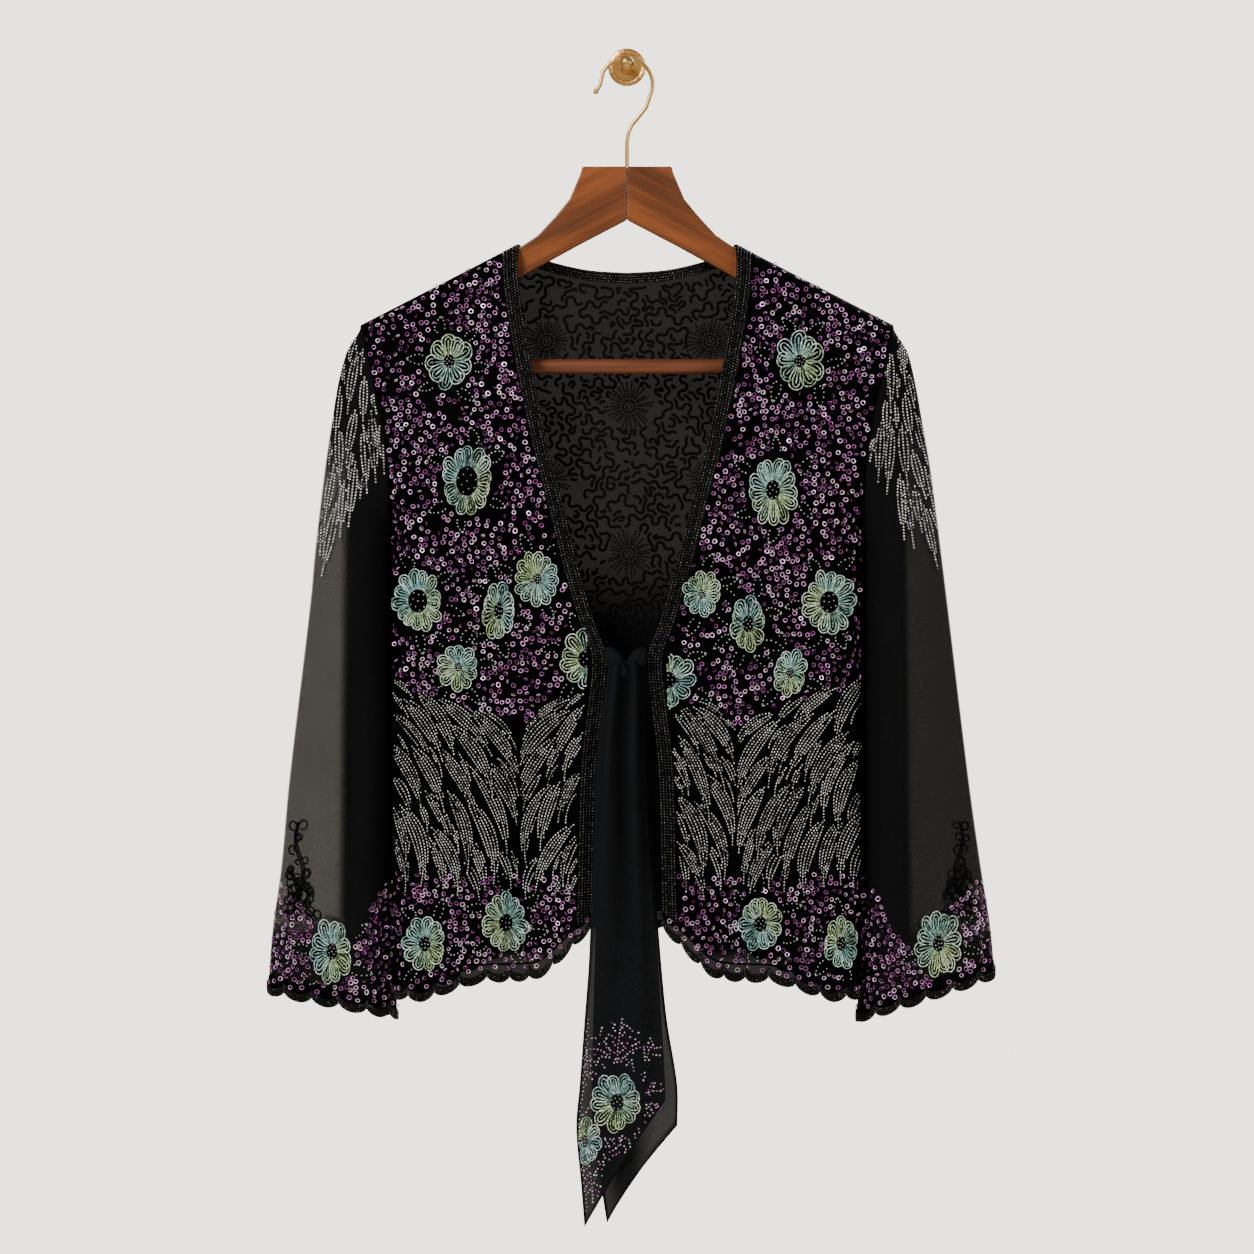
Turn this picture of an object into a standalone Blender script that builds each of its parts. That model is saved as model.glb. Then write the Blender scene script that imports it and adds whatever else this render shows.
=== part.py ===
"""A short evening jacket of sheer black beaded cloth, tied at the front, on a wooden hanger.

The hanger hangs by its wire hook on a brass peg that stands out of a wall.
Frame: metres, +Z up, the wall is the plane Y = 0 and the room is towards -Y.
The origin is the middle of the wall rosette's flat back.
Left and right are the picture's left (-X) and right (+X), seen from the room.
"""

import math

import bmesh
import bpy
from mathutils import Vector

# Gaps and walls
SEAM = 0.0003
CLOTH = 0.0015
BAND_CLOTH = 0.0022
TRIM_CLOTH = 0.0024
TIE_CLOTH = 0.0012
INWARD = -1.0
MOSTLY_INWARD = -0.6

# Planes of depth
MIDDLE_Y = -0.043
FRONT_DEPTH = 0.028
BACK_DEPTH = 0.024

# Shoulders: the ridge that lies along the hanger's arms
NECK_X = 0.0846
NECK_Z = -0.1411
SHOULDER_X = 0.2087
SHOULDER_Z = -0.2050
ROLL_RISE = 0.010
NECK_HUG = 0.0150
SHOULDER_HUG = 0.0170
HANG_DROP = 0.150

# Armhole and side
UNDERARM_Z = -0.3500
ARMHOLE_DEPTH = 0.026
SIDE_ROUND = 0.028

# The front edge's beaded band, and the scalloped edging under every hem
BAND_WIDTH = 0.0118
EDGING_DROP = 0.0008
TRIM_LEAST = 0.0080
TRIM_LOBE = 0.0058
SCALLOP_PITCH = 0.0215
LOBE_POINTS = 4

# Height, then half the garment's width there: the armhole seam, then the side seam
SIDE_LINE = (
    (-0.2050, 0.2087),
    (-0.2220, 0.2050),
    (-0.2380, 0.2010),
    (-0.2690, 0.1940),
    (-0.2965, 0.1890),
    (-0.3200, 0.1858),
    (-0.3500, 0.1840),
    (-0.4000, 0.1835),
    (-0.5500, 0.1830),
    (-0.7350, 0.1820),
)

# Height, then how far the front edge stands from the centre line
FRONT_EDGE_LINE = (
    (-0.1430, 0.0855),
    (-0.1700, 0.0850),
    (-0.2290, 0.0760),
    (-0.2990, 0.0620),
    (-0.3390, 0.0515),
    (-0.3920, 0.0385),
    (-0.4370, 0.0255),
    (-0.4640, 0.0162),
    (-0.5000, 0.0185),
    (-0.5370, 0.0230),
    (-0.5720, 0.0252),
    (-0.6310, 0.0265),
    (-0.6800, 0.0275),
)

# Distance from the centre line, then the height where the cloth ends and the edging begins
FRONT_HEM_LINE = (
    (0.0270, -0.6640),
    (0.0470, -0.6840),
    (0.0660, -0.7010),
    (0.0860, -0.7055),
    (0.1130, -0.7060),
    (0.1365, -0.7130),
    (0.1600, -0.7205),
    (0.1820, -0.7190),
)
BACK_HEM_LINE = (
    (0.0000, -0.6640),
    (0.0600, -0.6690),
    (0.1100, -0.6920),
    (0.1500, -0.7130),
    (0.1820, -0.7190),
)
BACK_NECK_LINE = (
    (0.0000, -0.1633),
    (0.0300, -0.1612),
    (0.0570, -0.1554),
    (0.0720, -0.1500),
    (0.0810, -0.1452),
    (0.0846, -0.1411),
)
# The line where the back meets its neck band
BACK_SEAM_LINE = (
    (0.0000, -0.1725),
    (0.0300, -0.1704),
    (0.0570, -0.1646),
    (0.0749, -0.1592),
    (0.0873, -0.1545),
    (0.0928, -0.1522),
    (0.0950, -0.1500),
    (0.0960, -0.1470),
)

# A fold: share across the panel, height where it starts, depth inwards at the hem, half width
LEFT_FRONT_FOLDS = (
    (0.34, -0.400, 0.0130, 0.0100),
    (0.62, -0.380, -0.0040, 0.0220),
    (0.83, -0.520, 0.0035, 0.0110),
    (0.12, -0.480, -0.0030, 0.0140),
)
RIGHT_FRONT_FOLDS = (
    (0.33, -0.420, 0.0115, 0.0105),
    (0.60, -0.400, -0.0045, 0.0230),
    (0.85, -0.560, 0.0030, 0.0120),
    (0.13, -0.500, -0.0025, 0.0140),
)
# The same for the back, with the distance from the centre line first
BACK_FOLDS = (
    (-0.0980, -0.340, 0.0065, 0.0170),
    (-0.0350, -0.420, 0.0035, 0.0150),
    (0.0280, -0.380, 0.0050, 0.0180),
    (0.1020, -0.360, 0.0070, 0.0160),
)

# Height, then how far the sleeve's outer line stands from the centre line: left, right
SLEEVE_OUTER_LINE = (
    (-0.2050, 0.2095, 0.2095),
    (-0.2120, 0.2145, 0.2145),
    (-0.2300, 0.2210, 0.2212),
    (-0.2530, 0.2268, 0.2265),
    (-0.2810, 0.2312, 0.2315),
    (-0.3170, 0.2368, 0.2378),
    (-0.3820, 0.2446, 0.2462),
    (-0.4210, 0.2482, 0.2510),
    (-0.5620, 0.2649, 0.2680),
    (-0.6300, 0.2712, 0.2775),
    (-0.6780, 0.2777, 0.2850),
    (-0.7300, 0.2816, 0.2890),
)
SLEEVE_TUCK = 0.0010  # how far a sleeve's inner fold reaches behind the body's side
SLEEVE_LEAN = 0.0120  # how far that fold leans towards the wall
LEAN_SHARE = 0.12  # the share of a sleeve's length over which it starts to lean
HEAD_RELEASE = 0.045  # the share over which the sleeve's head leaves the shoulder
SEAM_RELEASE = 0.25  # the same at the underarm
CUFF_OUTER_Z = {"left": -0.7160, "right": -0.7040}
CUFF_INNER_Z = {"left": -0.7360, "right": -0.7390}
CUFF_DEPTH = 0.025
ELBOW_DEPTH = 0.029
COLLAR_STEP = 0.0015
# A sleeve fold: angle round from the outer line, depth inwards at the cuff, half width in degrees
SLEEVE_FOLDS = (
    (96.0, 0.0065, 15.0),
    (148.0, 0.0030, 12.0),
    (262.0, 0.0060, 16.0),
    (212.0, 0.0030, 12.0),
)

# Distances below the shoulder end, down the side, where a panel has its rows
PANEL_ROWS = (
    0.0000, 0.00015, 0.0010, 0.0038, 0.0100, 0.0220, 0.0480, 0.0800, 0.1100, 0.1320, 0.1440,
    0.1490, 0.1650, 0.2000, 0.2500, 0.2900, 0.3170, 0.3450, 0.3850, 0.4300, 0.4720, 0.5140,
)
# Distances from the side edge where a panel has its last columns
SIDE_COLUMNS = (0.0260, 0.0120, 0.0040, 0.0010, 0.0002, 0.0)
FRONT_COLUMNS = (0.0, 0.08, 0.16, 0.22, 0.27, 0.31, 0.34, 0.37, 0.41, 0.47, 0.55, 0.63, 0.71)
# Shares of the way from the centre line to the first of those
BACK_COLUMNS = (0.0, 0.11, 0.21, 0.31, 0.41, 0.478, 0.508, 0.520, 0.5254, 0.63, 0.74, 0.87, 1.0)
SLEEVE_ROWS = (0.0, 0.004, 0.022, 0.05, 0.09, 0.15, 0.25, 0.38, 0.51, 0.64, 0.77, 0.89, 1.0)
SLEEVE_SIDES = 20
NECK_BAND_REACH = 0.993

# The tie: a knot between the two front edges, and two tails that hang from it
KNOT_Z = -0.4650
KNOT_HALF = (0.0173, 0.0098, 0.0098)
KNOT_TOP = 0.70
KNOT_Y = -0.0765
TAIL_TOP_Z = -0.4758
TAIL_COLUMNS = 8
TAIL_ROWS = 12
TAIL_PLEATS = 2.0
TAIL_PLEAT_TOP = 0.0030
TAIL_PLEAT_END = 0.0012
FRONT_TAIL_Y = -0.0845
REAR_TAIL_Y = -0.0785
# Height, then the left edge and the right edge
FRONT_TAIL_LINE = (
    (-0.4758, -0.0125, 0.0100),
    (-0.5420, -0.0235, 0.0140),
    (-0.6315, -0.0269, 0.0187),
    (-0.7016, -0.0296, 0.0238),
    (-0.7434, -0.0327, 0.0265),
    (-0.7990, -0.0369, 0.0296),
    (-0.8310, -0.0395, 0.0300),
    (-0.8750, -0.0358, 0.0300),
    (-0.9088, -0.0331, 0.0300),
)
FRONT_TAIL_END = (-0.9088, -0.8098)
REAR_TAIL_LINE = (
    (-0.4758, -0.0100, 0.0125),
    (-0.5420, -0.0170, 0.0165),
    (-0.6315, -0.0220, 0.0212),
    (-0.7016, -0.0250, 0.0265),
    (-0.7475, -0.0262, 0.0311),
    (-0.7990, -0.0270, 0.0392),
    (-0.8310, -0.0265, 0.0392),
    (-0.8750, -0.0205, 0.0380),
    (-0.9060, -0.0157, 0.0380),
)
REAR_TAIL_END = (-0.9060, -0.8300)

# The hanger
ARM_THICKNESS = 0.0140
ARM_EDGE_ROUND = 0.0030
ARM_UNDER_CLOTH = 0.0044
HANGER_TOP_Z = -0.0810
HANGER_TOP_HALF = 0.0350
HANGER_NOTCH_Z = -0.1227
ARM_END_X = 0.1880
BAR_Z = -0.2375
BAR_RADIUS = 0.0058
LUG_X = 0.1660
WIRE_RADIUS = 0.0016
HOOK_RADIUS = 0.0205
HOOK_X = -0.0005

# The wall hook
ROSETTE_RADIUS = 0.0150
ROSETTE_THICKNESS = 0.0042
PEG_RADIUS = 0.0022
BALL_RADIUS = 0.0056
BALL_Y = -0.0512

COLOURS = {
    "sheer_black": ((0.010, 0.010, 0.012, 1.0), 0.62, 0.0),
    "beaded_black": ((0.014, 0.010, 0.018, 1.0), 0.45, 0.0),
    "bead_band": ((0.012, 0.012, 0.013, 1.0), 0.30, 0.0),
    "corded_edging": ((0.008, 0.008, 0.009, 1.0), 0.70, 0.0),
    "walnut": ((0.190, 0.062, 0.022, 1.0), 0.38, 0.0),
    "brass": ((0.520, 0.330, 0.120, 1.0), 0.34, 1.0),
}


def blend(low, high, share):
    """The value at that share of the way from low to high."""
    return low + (high - low) * share


def eased(share):
    """A share that leaves 0 and reaches 1 with no slope."""
    share = min(max(share, 0.0), 1.0)
    return share * share * (3.0 - 2.0 * share)


def quarter(share):
    """The height of a quarter ellipse: steep at 0 and level at 1."""
    share = min(max(share, 0.0), 1.0)
    return math.sqrt(1.0 - (1.0 - share) ** 2)


def read(table, at, column=1):
    """A smooth curve through a table's rows, read at a value of its first column."""
    rows = sorted(table)
    if at <= rows[0][0]:
        return rows[0][column]
    if at >= rows[-1][0]:
        return rows[-1][column]
    last = max(i for i, row in enumerate(rows[:-1]) if row[0] <= at)

    def slope(i):
        before, after = rows[max(i - 1, 0)], rows[min(i + 1, len(rows) - 1)]
        return (after[column] - before[column]) / (after[0] - before[0])

    start, end = rows[last], rows[last + 1]
    length = end[0] - start[0]
    t = (at - start[0]) / length
    return (
        (2 * t**3 - 3 * t**2 + 1) * start[column]
        + (t**3 - 2 * t**2 + t) * length * slope(last)
        + (3 * t**2 - 2 * t**3) * end[column]
        + (t**3 - t**2) * length * slope(last + 1)
    )


def material(name):
    """The named material, made once."""
    made = bpy.data.materials.get(name)
    if made is None:
        colour, roughness, metallic = COLOURS[name]
        made = bpy.data.materials.new(name)
        made.use_nodes = True
        shader = made.node_tree.nodes["Principled BSDF"]
        shader.inputs["Base Color"].default_value = colour
        shader.inputs["Roughness"].default_value = roughness
        shader.inputs["Metallic"].default_value = metallic
        made.diffuse_color = colour
    return made


def place(name, data, finish, collection):
    """A new object of that data and finish, in the collection."""
    made = bpy.data.objects.new(name, data)
    made.data.materials.append(material(finish))
    collection.objects.link(made)
    return made


def sheet(name, rows, finish, collection, thickness, offset=INWARD, closed=False):
    """A wall of cloth: rows of points from the top down, run so that the faces point outwards."""
    shape = bmesh.new()
    grid = [[shape.verts.new(point) for point in row] for row in rows]
    across = len(grid[0]) if closed else len(grid[0]) - 1
    for upper, lower in zip(grid, grid[1:]):
        for i in range(across):
            k = (i + 1) % len(upper)
            shape.faces.new((upper[i], lower[i], lower[k], upper[k]))
    mesh = bpy.data.meshes.new(name)
    shape.to_mesh(mesh)
    shape.free()
    mesh.shade_smooth()
    made = place(name, mesh, finish, collection)
    wall = made.modifiers.new("wall", "SOLIDIFY")
    wall.thickness = thickness
    wall.offset = offset
    return made


def evenly(line, pieces):
    """The line again, with that many equal pieces."""
    lengths = [0.0]
    for a, b in zip(line, line[1:]):
        lengths.append(lengths[-1] + (b - a).length)
    made = []
    place_in = 0
    for k in range(pieces + 1):
        at = lengths[-1] * k / pieces
        while place_in < len(line) - 2 and lengths[place_in + 1] < at:
            place_in += 1
        step = lengths[place_in + 1] - lengths[place_in]
        made.append(line[place_in].lerp(line[place_in + 1], (at - lengths[place_in]) / step))
    return made


def ridge_z(x):
    """The height of the shoulder ridge above a distance from the centre line."""
    slope = (SHOULDER_Z - NECK_Z) / (SHOULDER_X - NECK_X)
    return NECK_Z + max(abs(x) - NECK_X, 0.0) * slope


def side_x(z):
    """Half the body's width at a height."""
    return read(SIDE_LINE, z)


def armhole_depth(z):
    """How far the armhole seam stands in front of, or behind, the shoulder point."""
    share = (SHOULDER_Z - z) / (SHOULDER_Z - UNDERARM_Z)
    if not 0.0 < share < 1.0:
        return 0.0
    return ARMHOLE_DEPTH * math.sqrt(1.0 - (1.0 - 2.0 * share) ** 2)


def body_depth(x, z, full):
    """How far the front or back stands off the middle plane, before its folds."""
    below = ridge_z(x) - z
    outward = eased((abs(x) - NECK_X) / (SHOULDER_X - NECK_X))
    hug = blend(NECK_HUG, SHOULDER_HUG, outward)
    hanging = blend(hug, full, eased(below / HANG_DROP)) * quarter(below / ROLL_RISE)
    seam = armhole_depth(z)
    inward = (side_x(z) - abs(x)) / SIDE_ROUND
    return seam + (hanging - seam) * (quarter(inward) if hanging > seam else eased(inward))


def fold_depth(x, z, middle, start, depth, width, hem=-0.70):
    """How far one fold pulls the cloth inwards at a point."""
    grown = eased((start - z) / (start - hem))
    return depth * grown * math.exp(-(((x - middle) / width) ** 2))


def front_span(z):
    """The front panel's reach across at a height: from the band's seam to the side."""
    return read(FRONT_EDGE_LINE, z) + BAND_WIDTH, side_x(z)


def front_x(across, z):
    """Distance from the centre line: across is -1 to 0 over the band and 0 to 1 over the panel."""
    seam, side = front_span(z)
    if across <= 0.0:
        return seam + BAND_WIDTH * across
    return blend(seam, side, across)


def front_surface(side, x, z):
    """A point on the front's outer face; x is the distance from the centre line."""
    folds = LEFT_FRONT_FOLDS if side < 0 else RIGHT_FRONT_FOLDS
    seam, edge = front_span(z)
    pulled = sum(
        fold_depth(x, z, blend(seam, edge, share), start, depth, width)
        for share, start, depth, width in folds
    )
    fade = quarter((edge - x) / SIDE_ROUND)
    y = MIDDLE_Y - SEAM * 1.5 - body_depth(x, z, FRONT_DEPTH) + pulled * fade
    return Vector((side * x, y, z))


def front_level(across, down):
    """The height of a point of the front: down runs 0 at the ridge to 1 at the hem line."""
    top, bottom = ridge_z(front_x(across, NECK_Z)), -0.70
    for _ in range(6):
        top = ridge_z(front_x(across, top))
        bottom = read(FRONT_HEM_LINE, front_x(across, bottom))
    return blend(top, bottom, down)


def row_shares():
    """How far down its panel each row is, from 0 to 1."""
    return [distance / PANEL_ROWS[-1] for distance in PANEL_ROWS]


def front_rows(side, acrosses, from_side=()):
    """The rows of points of a front piece, left to right in the picture."""
    rows = []
    for down in row_shares():
        row = []
        for across in acrosses:
            z = front_level(across, down)
            row.append(front_surface(side, front_x(across, z) + (SEAM if across >= 0 else 0), z))
        for distance in from_side:
            z = front_level(1.0, down)
            for _ in range(3):
                seam, edge = front_span(z)
                z = front_level((edge - distance - seam) / (edge - seam), down)
            row.append(front_surface(side, side_x(z) - distance, z))
        rows.append(row if side > 0 else row[::-1])
    return rows


def back_surface(x, z):
    """A point on the back's outer face; x is signed."""
    pulled = sum(fold_depth(x, z, *fold) for fold in BACK_FOLDS)
    fade = quarter((side_x(z) - abs(x)) / SIDE_ROUND)
    y = MIDDLE_Y + SEAM * 1.5 + body_depth(x, z, BACK_DEPTH) - pulled * fade
    return Vector((x, y, z))


def back_top(x):
    """The height of the back's top edge: the shoulder seams, and the neckline between them."""
    if abs(x) < BACK_SEAM_LINE[-1][0]:
        return read(BACK_SEAM_LINE, abs(x))
    return ridge_z(x)


def back_columns(z):
    """Signed distances across the back at a height, left to right."""
    side = side_x(z)
    right = [(side - SIDE_COLUMNS[0]) * share for share in BACK_COLUMNS]
    right += [side - distance for distance in SIDE_COLUMNS[1:]]
    return [-x for x in reversed(right[1:])] + right


def back_rows():
    """The rows of points of the back, right to left in the picture so that it faces the wall."""
    count = len(back_columns(SHOULDER_Z))
    rows = []
    for down in row_shares():
        row = []
        for i in range(count):
            top, z = SHOULDER_Z, SHOULDER_Z
            for _ in range(6):
                top = back_top(back_columns(top)[i])
                bottom = read(BACK_HEM_LINE, abs(back_columns(z)[i]))
                z = blend(top, bottom, down)
            row.append(back_surface(back_columns(z)[i], z))
        rows.append(row[::-1])
    return rows


def neck_band_rows():
    """The back neck's band: from one shoulder seam round to the other, over the back's top edge."""
    half = BACK_SEAM_LINE[-1][0]
    under = [point.x for point in back_rows()[0] if abs(point.x) < half + 0.001]
    rows = []
    for width in (0.0, 0.35, 0.7, 1.0):
        row = []
        for x in under:
            over = x * NECK_X / half
            at = blend(over, x * NECK_BAND_REACH, width)
            z = blend(read(BACK_NECK_LINE, abs(over)), back_top(x) + SEAM * 3, width)
            row.append(back_surface(at, min(z, ridge_z(at) - SEAM)))
        rows.append(row)
    return rows


def sleeve_point(name, turn, down):
    """A point of a sleeve's outer face: turn runs round from the outer line, down from 0 to 1."""
    column = 1 if name == "left" else 2
    side = -1 if name == "left" else 1
    collar = down == SLEEVE_ROWS[1]
    if collar:
        down = 0.0
    outer_z = blend(SHOULDER_Z, CUFF_OUTER_Z[name], down)
    inner_z = blend(UNDERARM_Z, CUFF_INNER_Z[name], down)
    outer_x = read(SLEEVE_OUTER_LINE, outer_z, column)
    leaning = eased(down / LEAN_SHARE)
    inner_x = side_x(inner_z) + blend(SEAM * 2.0, -SLEEVE_TUCK, leaning)
    share = (1.0 - math.cos(turn)) / 2.0
    z = blend(outer_z, inner_z, share)
    x = blend(outer_x, inner_x, share)
    to_seam = (1.0 - min(down / blend(HEAD_RELEASE, SEAM_RELEASE, share), 1.0)) ** 2
    x += (side_x(z) + SEAM * 2.0 - x) * to_seam
    if collar:
        x += COLLAR_STEP
    depth = blend(ARMHOLE_DEPTH, ELBOW_DEPTH, eased(down / 0.5))
    depth = blend(depth, CUFF_DEPTH, eased((down - 0.5) / 0.5))
    across = math.sin(turn)
    degrees = math.degrees(turn) % 360.0
    for middle, pull, width in SLEEVE_FOLDS:
        grown = eased((down - 0.18) / 0.7)
        depth -= pull * grown * math.exp(-(((degrees - middle) / width) ** 2))
    lean = SLEEVE_LEAN * leaning * share**2
    return Vector((side * x, MIDDLE_Y - depth * across + lean, z))


def sleeve_turns(name, count):
    """The angles round a sleeve, run so that its faces point outwards."""
    way = 1 if name == "left" else -1
    return [way * 2.0 * math.pi * i / count for i in range(count)]


def scallop(share, lobes):
    """How far a scalloped edge hangs down: round lobes with sharp notches between them."""
    return abs(math.sin(math.pi * lobes * share)) ** 0.55


def edging_rows(line, lobes, closed=False):
    """The two rows of an edging that hangs from a line of points, in lobes."""
    pieces = lobes * LOBE_POINTS
    top = evenly(line + line[:1] if closed else line, pieces)
    if closed:
        top = top[:-1]
    bottom = []
    for i, point in enumerate(top):
        hang = TRIM_LEAST + TRIM_LOBE * scallop(i / pieces, lobes)
        bottom.append(point - Vector((0.0, 0.0, hang)))
    return [[point - Vector((0.0, 0.0, EDGING_DROP)) for point in top], bottom]


def lobes_along(line, closed=False):
    """How many scallops fit along a line of points."""
    points = line + line[:1] if closed else line
    length = sum((b - a).length for a, b in zip(points, points[1:]))
    return round(length / SCALLOP_PITCH)


def tail_rows(table, ends, y):
    """One tail of the tie: a sheet with soft pleats that ends in a slanting point."""
    rows = []
    for j in range(TAIL_ROWS + 1):
        row = []
        for i in range(TAIL_COLUMNS + 1):
            across = i / TAIL_COLUMNS
            z = blend(TAIL_TOP_Z, blend(*ends, across), j / TAIL_ROWS)
            x = blend(read(table, z, 1), read(table, z, 2), across)
            pleat = blend(TAIL_PLEAT_TOP, TAIL_PLEAT_END, eased(j / TAIL_ROWS))
            wave = math.cos(2.0 * math.pi * TAIL_PLEATS * across)
            row.append(Vector((x, y + pleat * wave, z)))
        rows.append(row)
    return rows


def build_jacket(collection):
    """The body, bands, edging and sleeves."""
    for name, side in (("left", -1), ("right", 1)):
        panel = front_rows(side, FRONT_COLUMNS, SIDE_COLUMNS)
        sheet(f"front_{name}", panel, "beaded_black", collection, CLOTH)
        band = front_rows(side, (-1.0, -0.5, -0.03))
        sheet(f"front_band_{name}", band, "bead_band", collection, BAND_CLOTH, MOSTLY_INWARD)
        hem = band[-1] + panel[-1] if side > 0 else panel[-1] + band[-1]
        edging = edging_rows(hem, lobes_along(hem))
        sheet(f"hem_edging_{name}", edging, "corded_edging", collection, TRIM_CLOTH, MOSTLY_INWARD)
        turns = sleeve_turns(name, SLEEVE_SIDES)
        tube = [[sleeve_point(name, turn, down) for turn in turns] for down in SLEEVE_ROWS]
        sheet(f"sleeve_{name}", tube, "sheer_black", collection, CLOTH, closed=True)
        cuff = [sleeve_point(name, turn, 1.0) for turn in sleeve_turns(name, 72)]
        edging = edging_rows(cuff, lobes_along(cuff, True), True)
        sheet(
            f"cuff_edging_{name}", edging, "corded_edging", collection, TRIM_CLOTH,
            MOSTLY_INWARD, True,
        )
    back = back_rows()
    sheet("back", back, "beaded_black", collection, CLOTH)
    sheet("neck_band", neck_band_rows(), "bead_band", collection, BAND_CLOTH, MOSTLY_INWARD)
    edging = edging_rows(back[-1], lobes_along(back[-1]))
    sheet("hem_edging_back", edging, "corded_edging", collection, TRIM_CLOTH, MOSTLY_INWARD)


def build_tie(collection):
    """The knot and its two tails."""
    shape = bmesh.new()
    bmesh.ops.create_cube(shape, size=2.0)
    mesh = bpy.data.meshes.new("tie_knot")
    shape.to_mesh(mesh)
    shape.free()
    for vertex in mesh.vertices:
        narrowed = KNOT_TOP if vertex.co.z > 0 else 1.0
        vertex.co = Vector(a * b for a, b in zip(vertex.co, KNOT_HALF))
        vertex.co.x *= narrowed
    knot = place("tie_knot", mesh, "sheer_black", collection)
    knot.location = (0.0, KNOT_Y, KNOT_Z)
    edges = knot.modifiers.new("edges", "BEVEL")
    edges.width = 0.004
    edges.segments = 3
    for name, table, ends, y in (
        ("tie_tail_front", FRONT_TAIL_LINE, FRONT_TAIL_END, FRONT_TAIL_Y),
        ("tie_tail_rear", REAR_TAIL_LINE, REAR_TAIL_END, REAR_TAIL_Y),
    ):
        sheet(name, tail_rows(table, ends, y), "sheer_black", collection, TIE_CLOTH, 0.0)


def arm_outline():
    """The outline of the hanger's right arm, from the middle of its top round to its notch."""
    top = [(SEAM / 2, HANGER_TOP_Z), (HANGER_TOP_HALF, HANGER_TOP_Z)]
    sweep = [(0.0365, -0.0865), (0.0450, -0.1065), (0.0565, -0.1205), (0.0700, -0.1350)]
    under = ARM_UNDER_CLOTH
    ridge = [(x, ridge_z(x) - under) for x in (0.0900, 0.1200, 0.1500, 0.1780)]
    end = [(ARM_END_X, -0.2020), (ARM_END_X, -0.2420)]
    lug = [(0.1830, -0.2470), (LUG_X, -0.2470), (LUG_X, -0.2230)]
    lower = [(0.1500, -0.2080), (0.1150, -0.1860), (0.0851, -0.1684), (0.0400, -0.1435)]
    lower += [(SEAM / 2, HANGER_NOTCH_Z)]
    return top + sweep + ridge + end + lug + lower


def flat_piece(name, outline, thickness, finish, collection):
    """A board cut to an outline in X and Z, with its thickness along Y and its edges eased."""
    curve = bpy.data.curves.new(name, "CURVE")
    curve.dimensions = "2D"
    curve.fill_mode = "BOTH"
    curve.extrude = thickness / 2
    spline = curve.splines.new("POLY")
    spline.points.add(len(outline) - 1)
    for point, (x, z) in zip(spline.points, outline):
        point.co = (x, z, 0.0, 1.0)
    spline.use_cyclic_u = True
    made = place(name, curve, finish, collection)
    made.location = (0.0, MIDDLE_Y, 0.0)
    made.rotation_euler = (math.pi / 2, 0.0, 0.0)
    weld = made.modifiers.new("weld", "WELD")
    weld.merge_threshold = 0.00001
    edges = made.modifiers.new("edges", "BEVEL")
    edges.width = ARM_EDGE_ROUND
    edges.segments = 2
    edges.limit_method = "ANGLE"
    edges.angle_limit = math.radians(60)
    return made


def hook_route():
    """The wire's middle line: from its tip, over the peg, and down into the wood."""
    top_z = PEG_RADIUS + SEAM * 1.5 + WIRE_RADIUS
    centre_z = top_z - HOOK_RADIUS
    tip = [(-0.0240, -0.0215), (-0.0212, -0.0172)]
    arc = []
    for i in range(14):
        turn = math.radians(blend(152.0, -22.0, i / 13))
        arc.append((HOOK_X + HOOK_RADIUS * math.cos(turn), centre_z + HOOK_RADIUS * math.sin(turn)))
    sway = [(0.0150, -0.0345), (0.0095, -0.0415), (0.0040, -0.0480), (0.0010, -0.0550)]
    stem = [(0.0, -0.0620), (0.0, HANGER_TOP_Z + SEAM)]
    return tip + arc + sway + stem


def build_hanger(collection):
    """Two wooden arms glued at the middle, the bar between their ends, and the wire hook."""
    outline = arm_outline()
    flat_piece("hanger_arm_right", outline, ARM_THICKNESS, "walnut", collection)
    mirrored = [(-x, z) for x, z in reversed(outline)]
    flat_piece("hanger_arm_left", mirrored, ARM_THICKNESS, "walnut", collection)

    bpy.ops.mesh.primitive_cylinder_add(
        vertices=20,
        radius=BAR_RADIUS,
        depth=2 * (LUG_X - SEAM),
        location=(0.0, MIDDLE_Y, BAR_Z),
        rotation=(0.0, math.pi / 2, 0.0),
    )
    bar = bpy.context.object
    bar.name = "hanger_bar"
    bar.data.materials.append(material("walnut"))
    bpy.context.collection.objects.unlink(bar)
    collection.objects.link(bar)

    curve = bpy.data.curves.new("hook_wire", "CURVE")
    curve.dimensions = "3D"
    curve.bevel_depth = WIRE_RADIUS
    curve.bevel_resolution = 2
    curve.use_fill_caps = True
    route = hook_route()
    spline = curve.splines.new("POLY")
    spline.points.add(len(route) - 1)
    for point, (x, z) in zip(spline.points, route):
        point.co = (x, MIDDLE_Y, z, 1.0)
    place("hook_wire", curve, "brass", collection)


def turned(name, profile, finish, collection):
    """A round piece whose axis is Y: the profile's rows are radius, then distance off the wall."""
    shape = bmesh.new()
    points = [shape.verts.new((radius, 0.0, -distance)) for radius, distance in profile]
    for a, b in zip(points, points[1:]):
        shape.edges.new((a, b))
    mesh = bpy.data.meshes.new(name)
    shape.to_mesh(mesh)
    shape.free()
    made = place(name, mesh, finish, collection)
    made.rotation_euler = (-math.pi / 2, 0.0, 0.0)
    screw = made.modifiers.new("turn", "SCREW")
    screw.axis = "Z"
    screw.steps = 18
    screw.render_steps = 18
    screw.use_merge_vertices = True
    screw.use_normal_flip = True
    screw.merge_threshold = 0.00001
    return made


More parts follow.
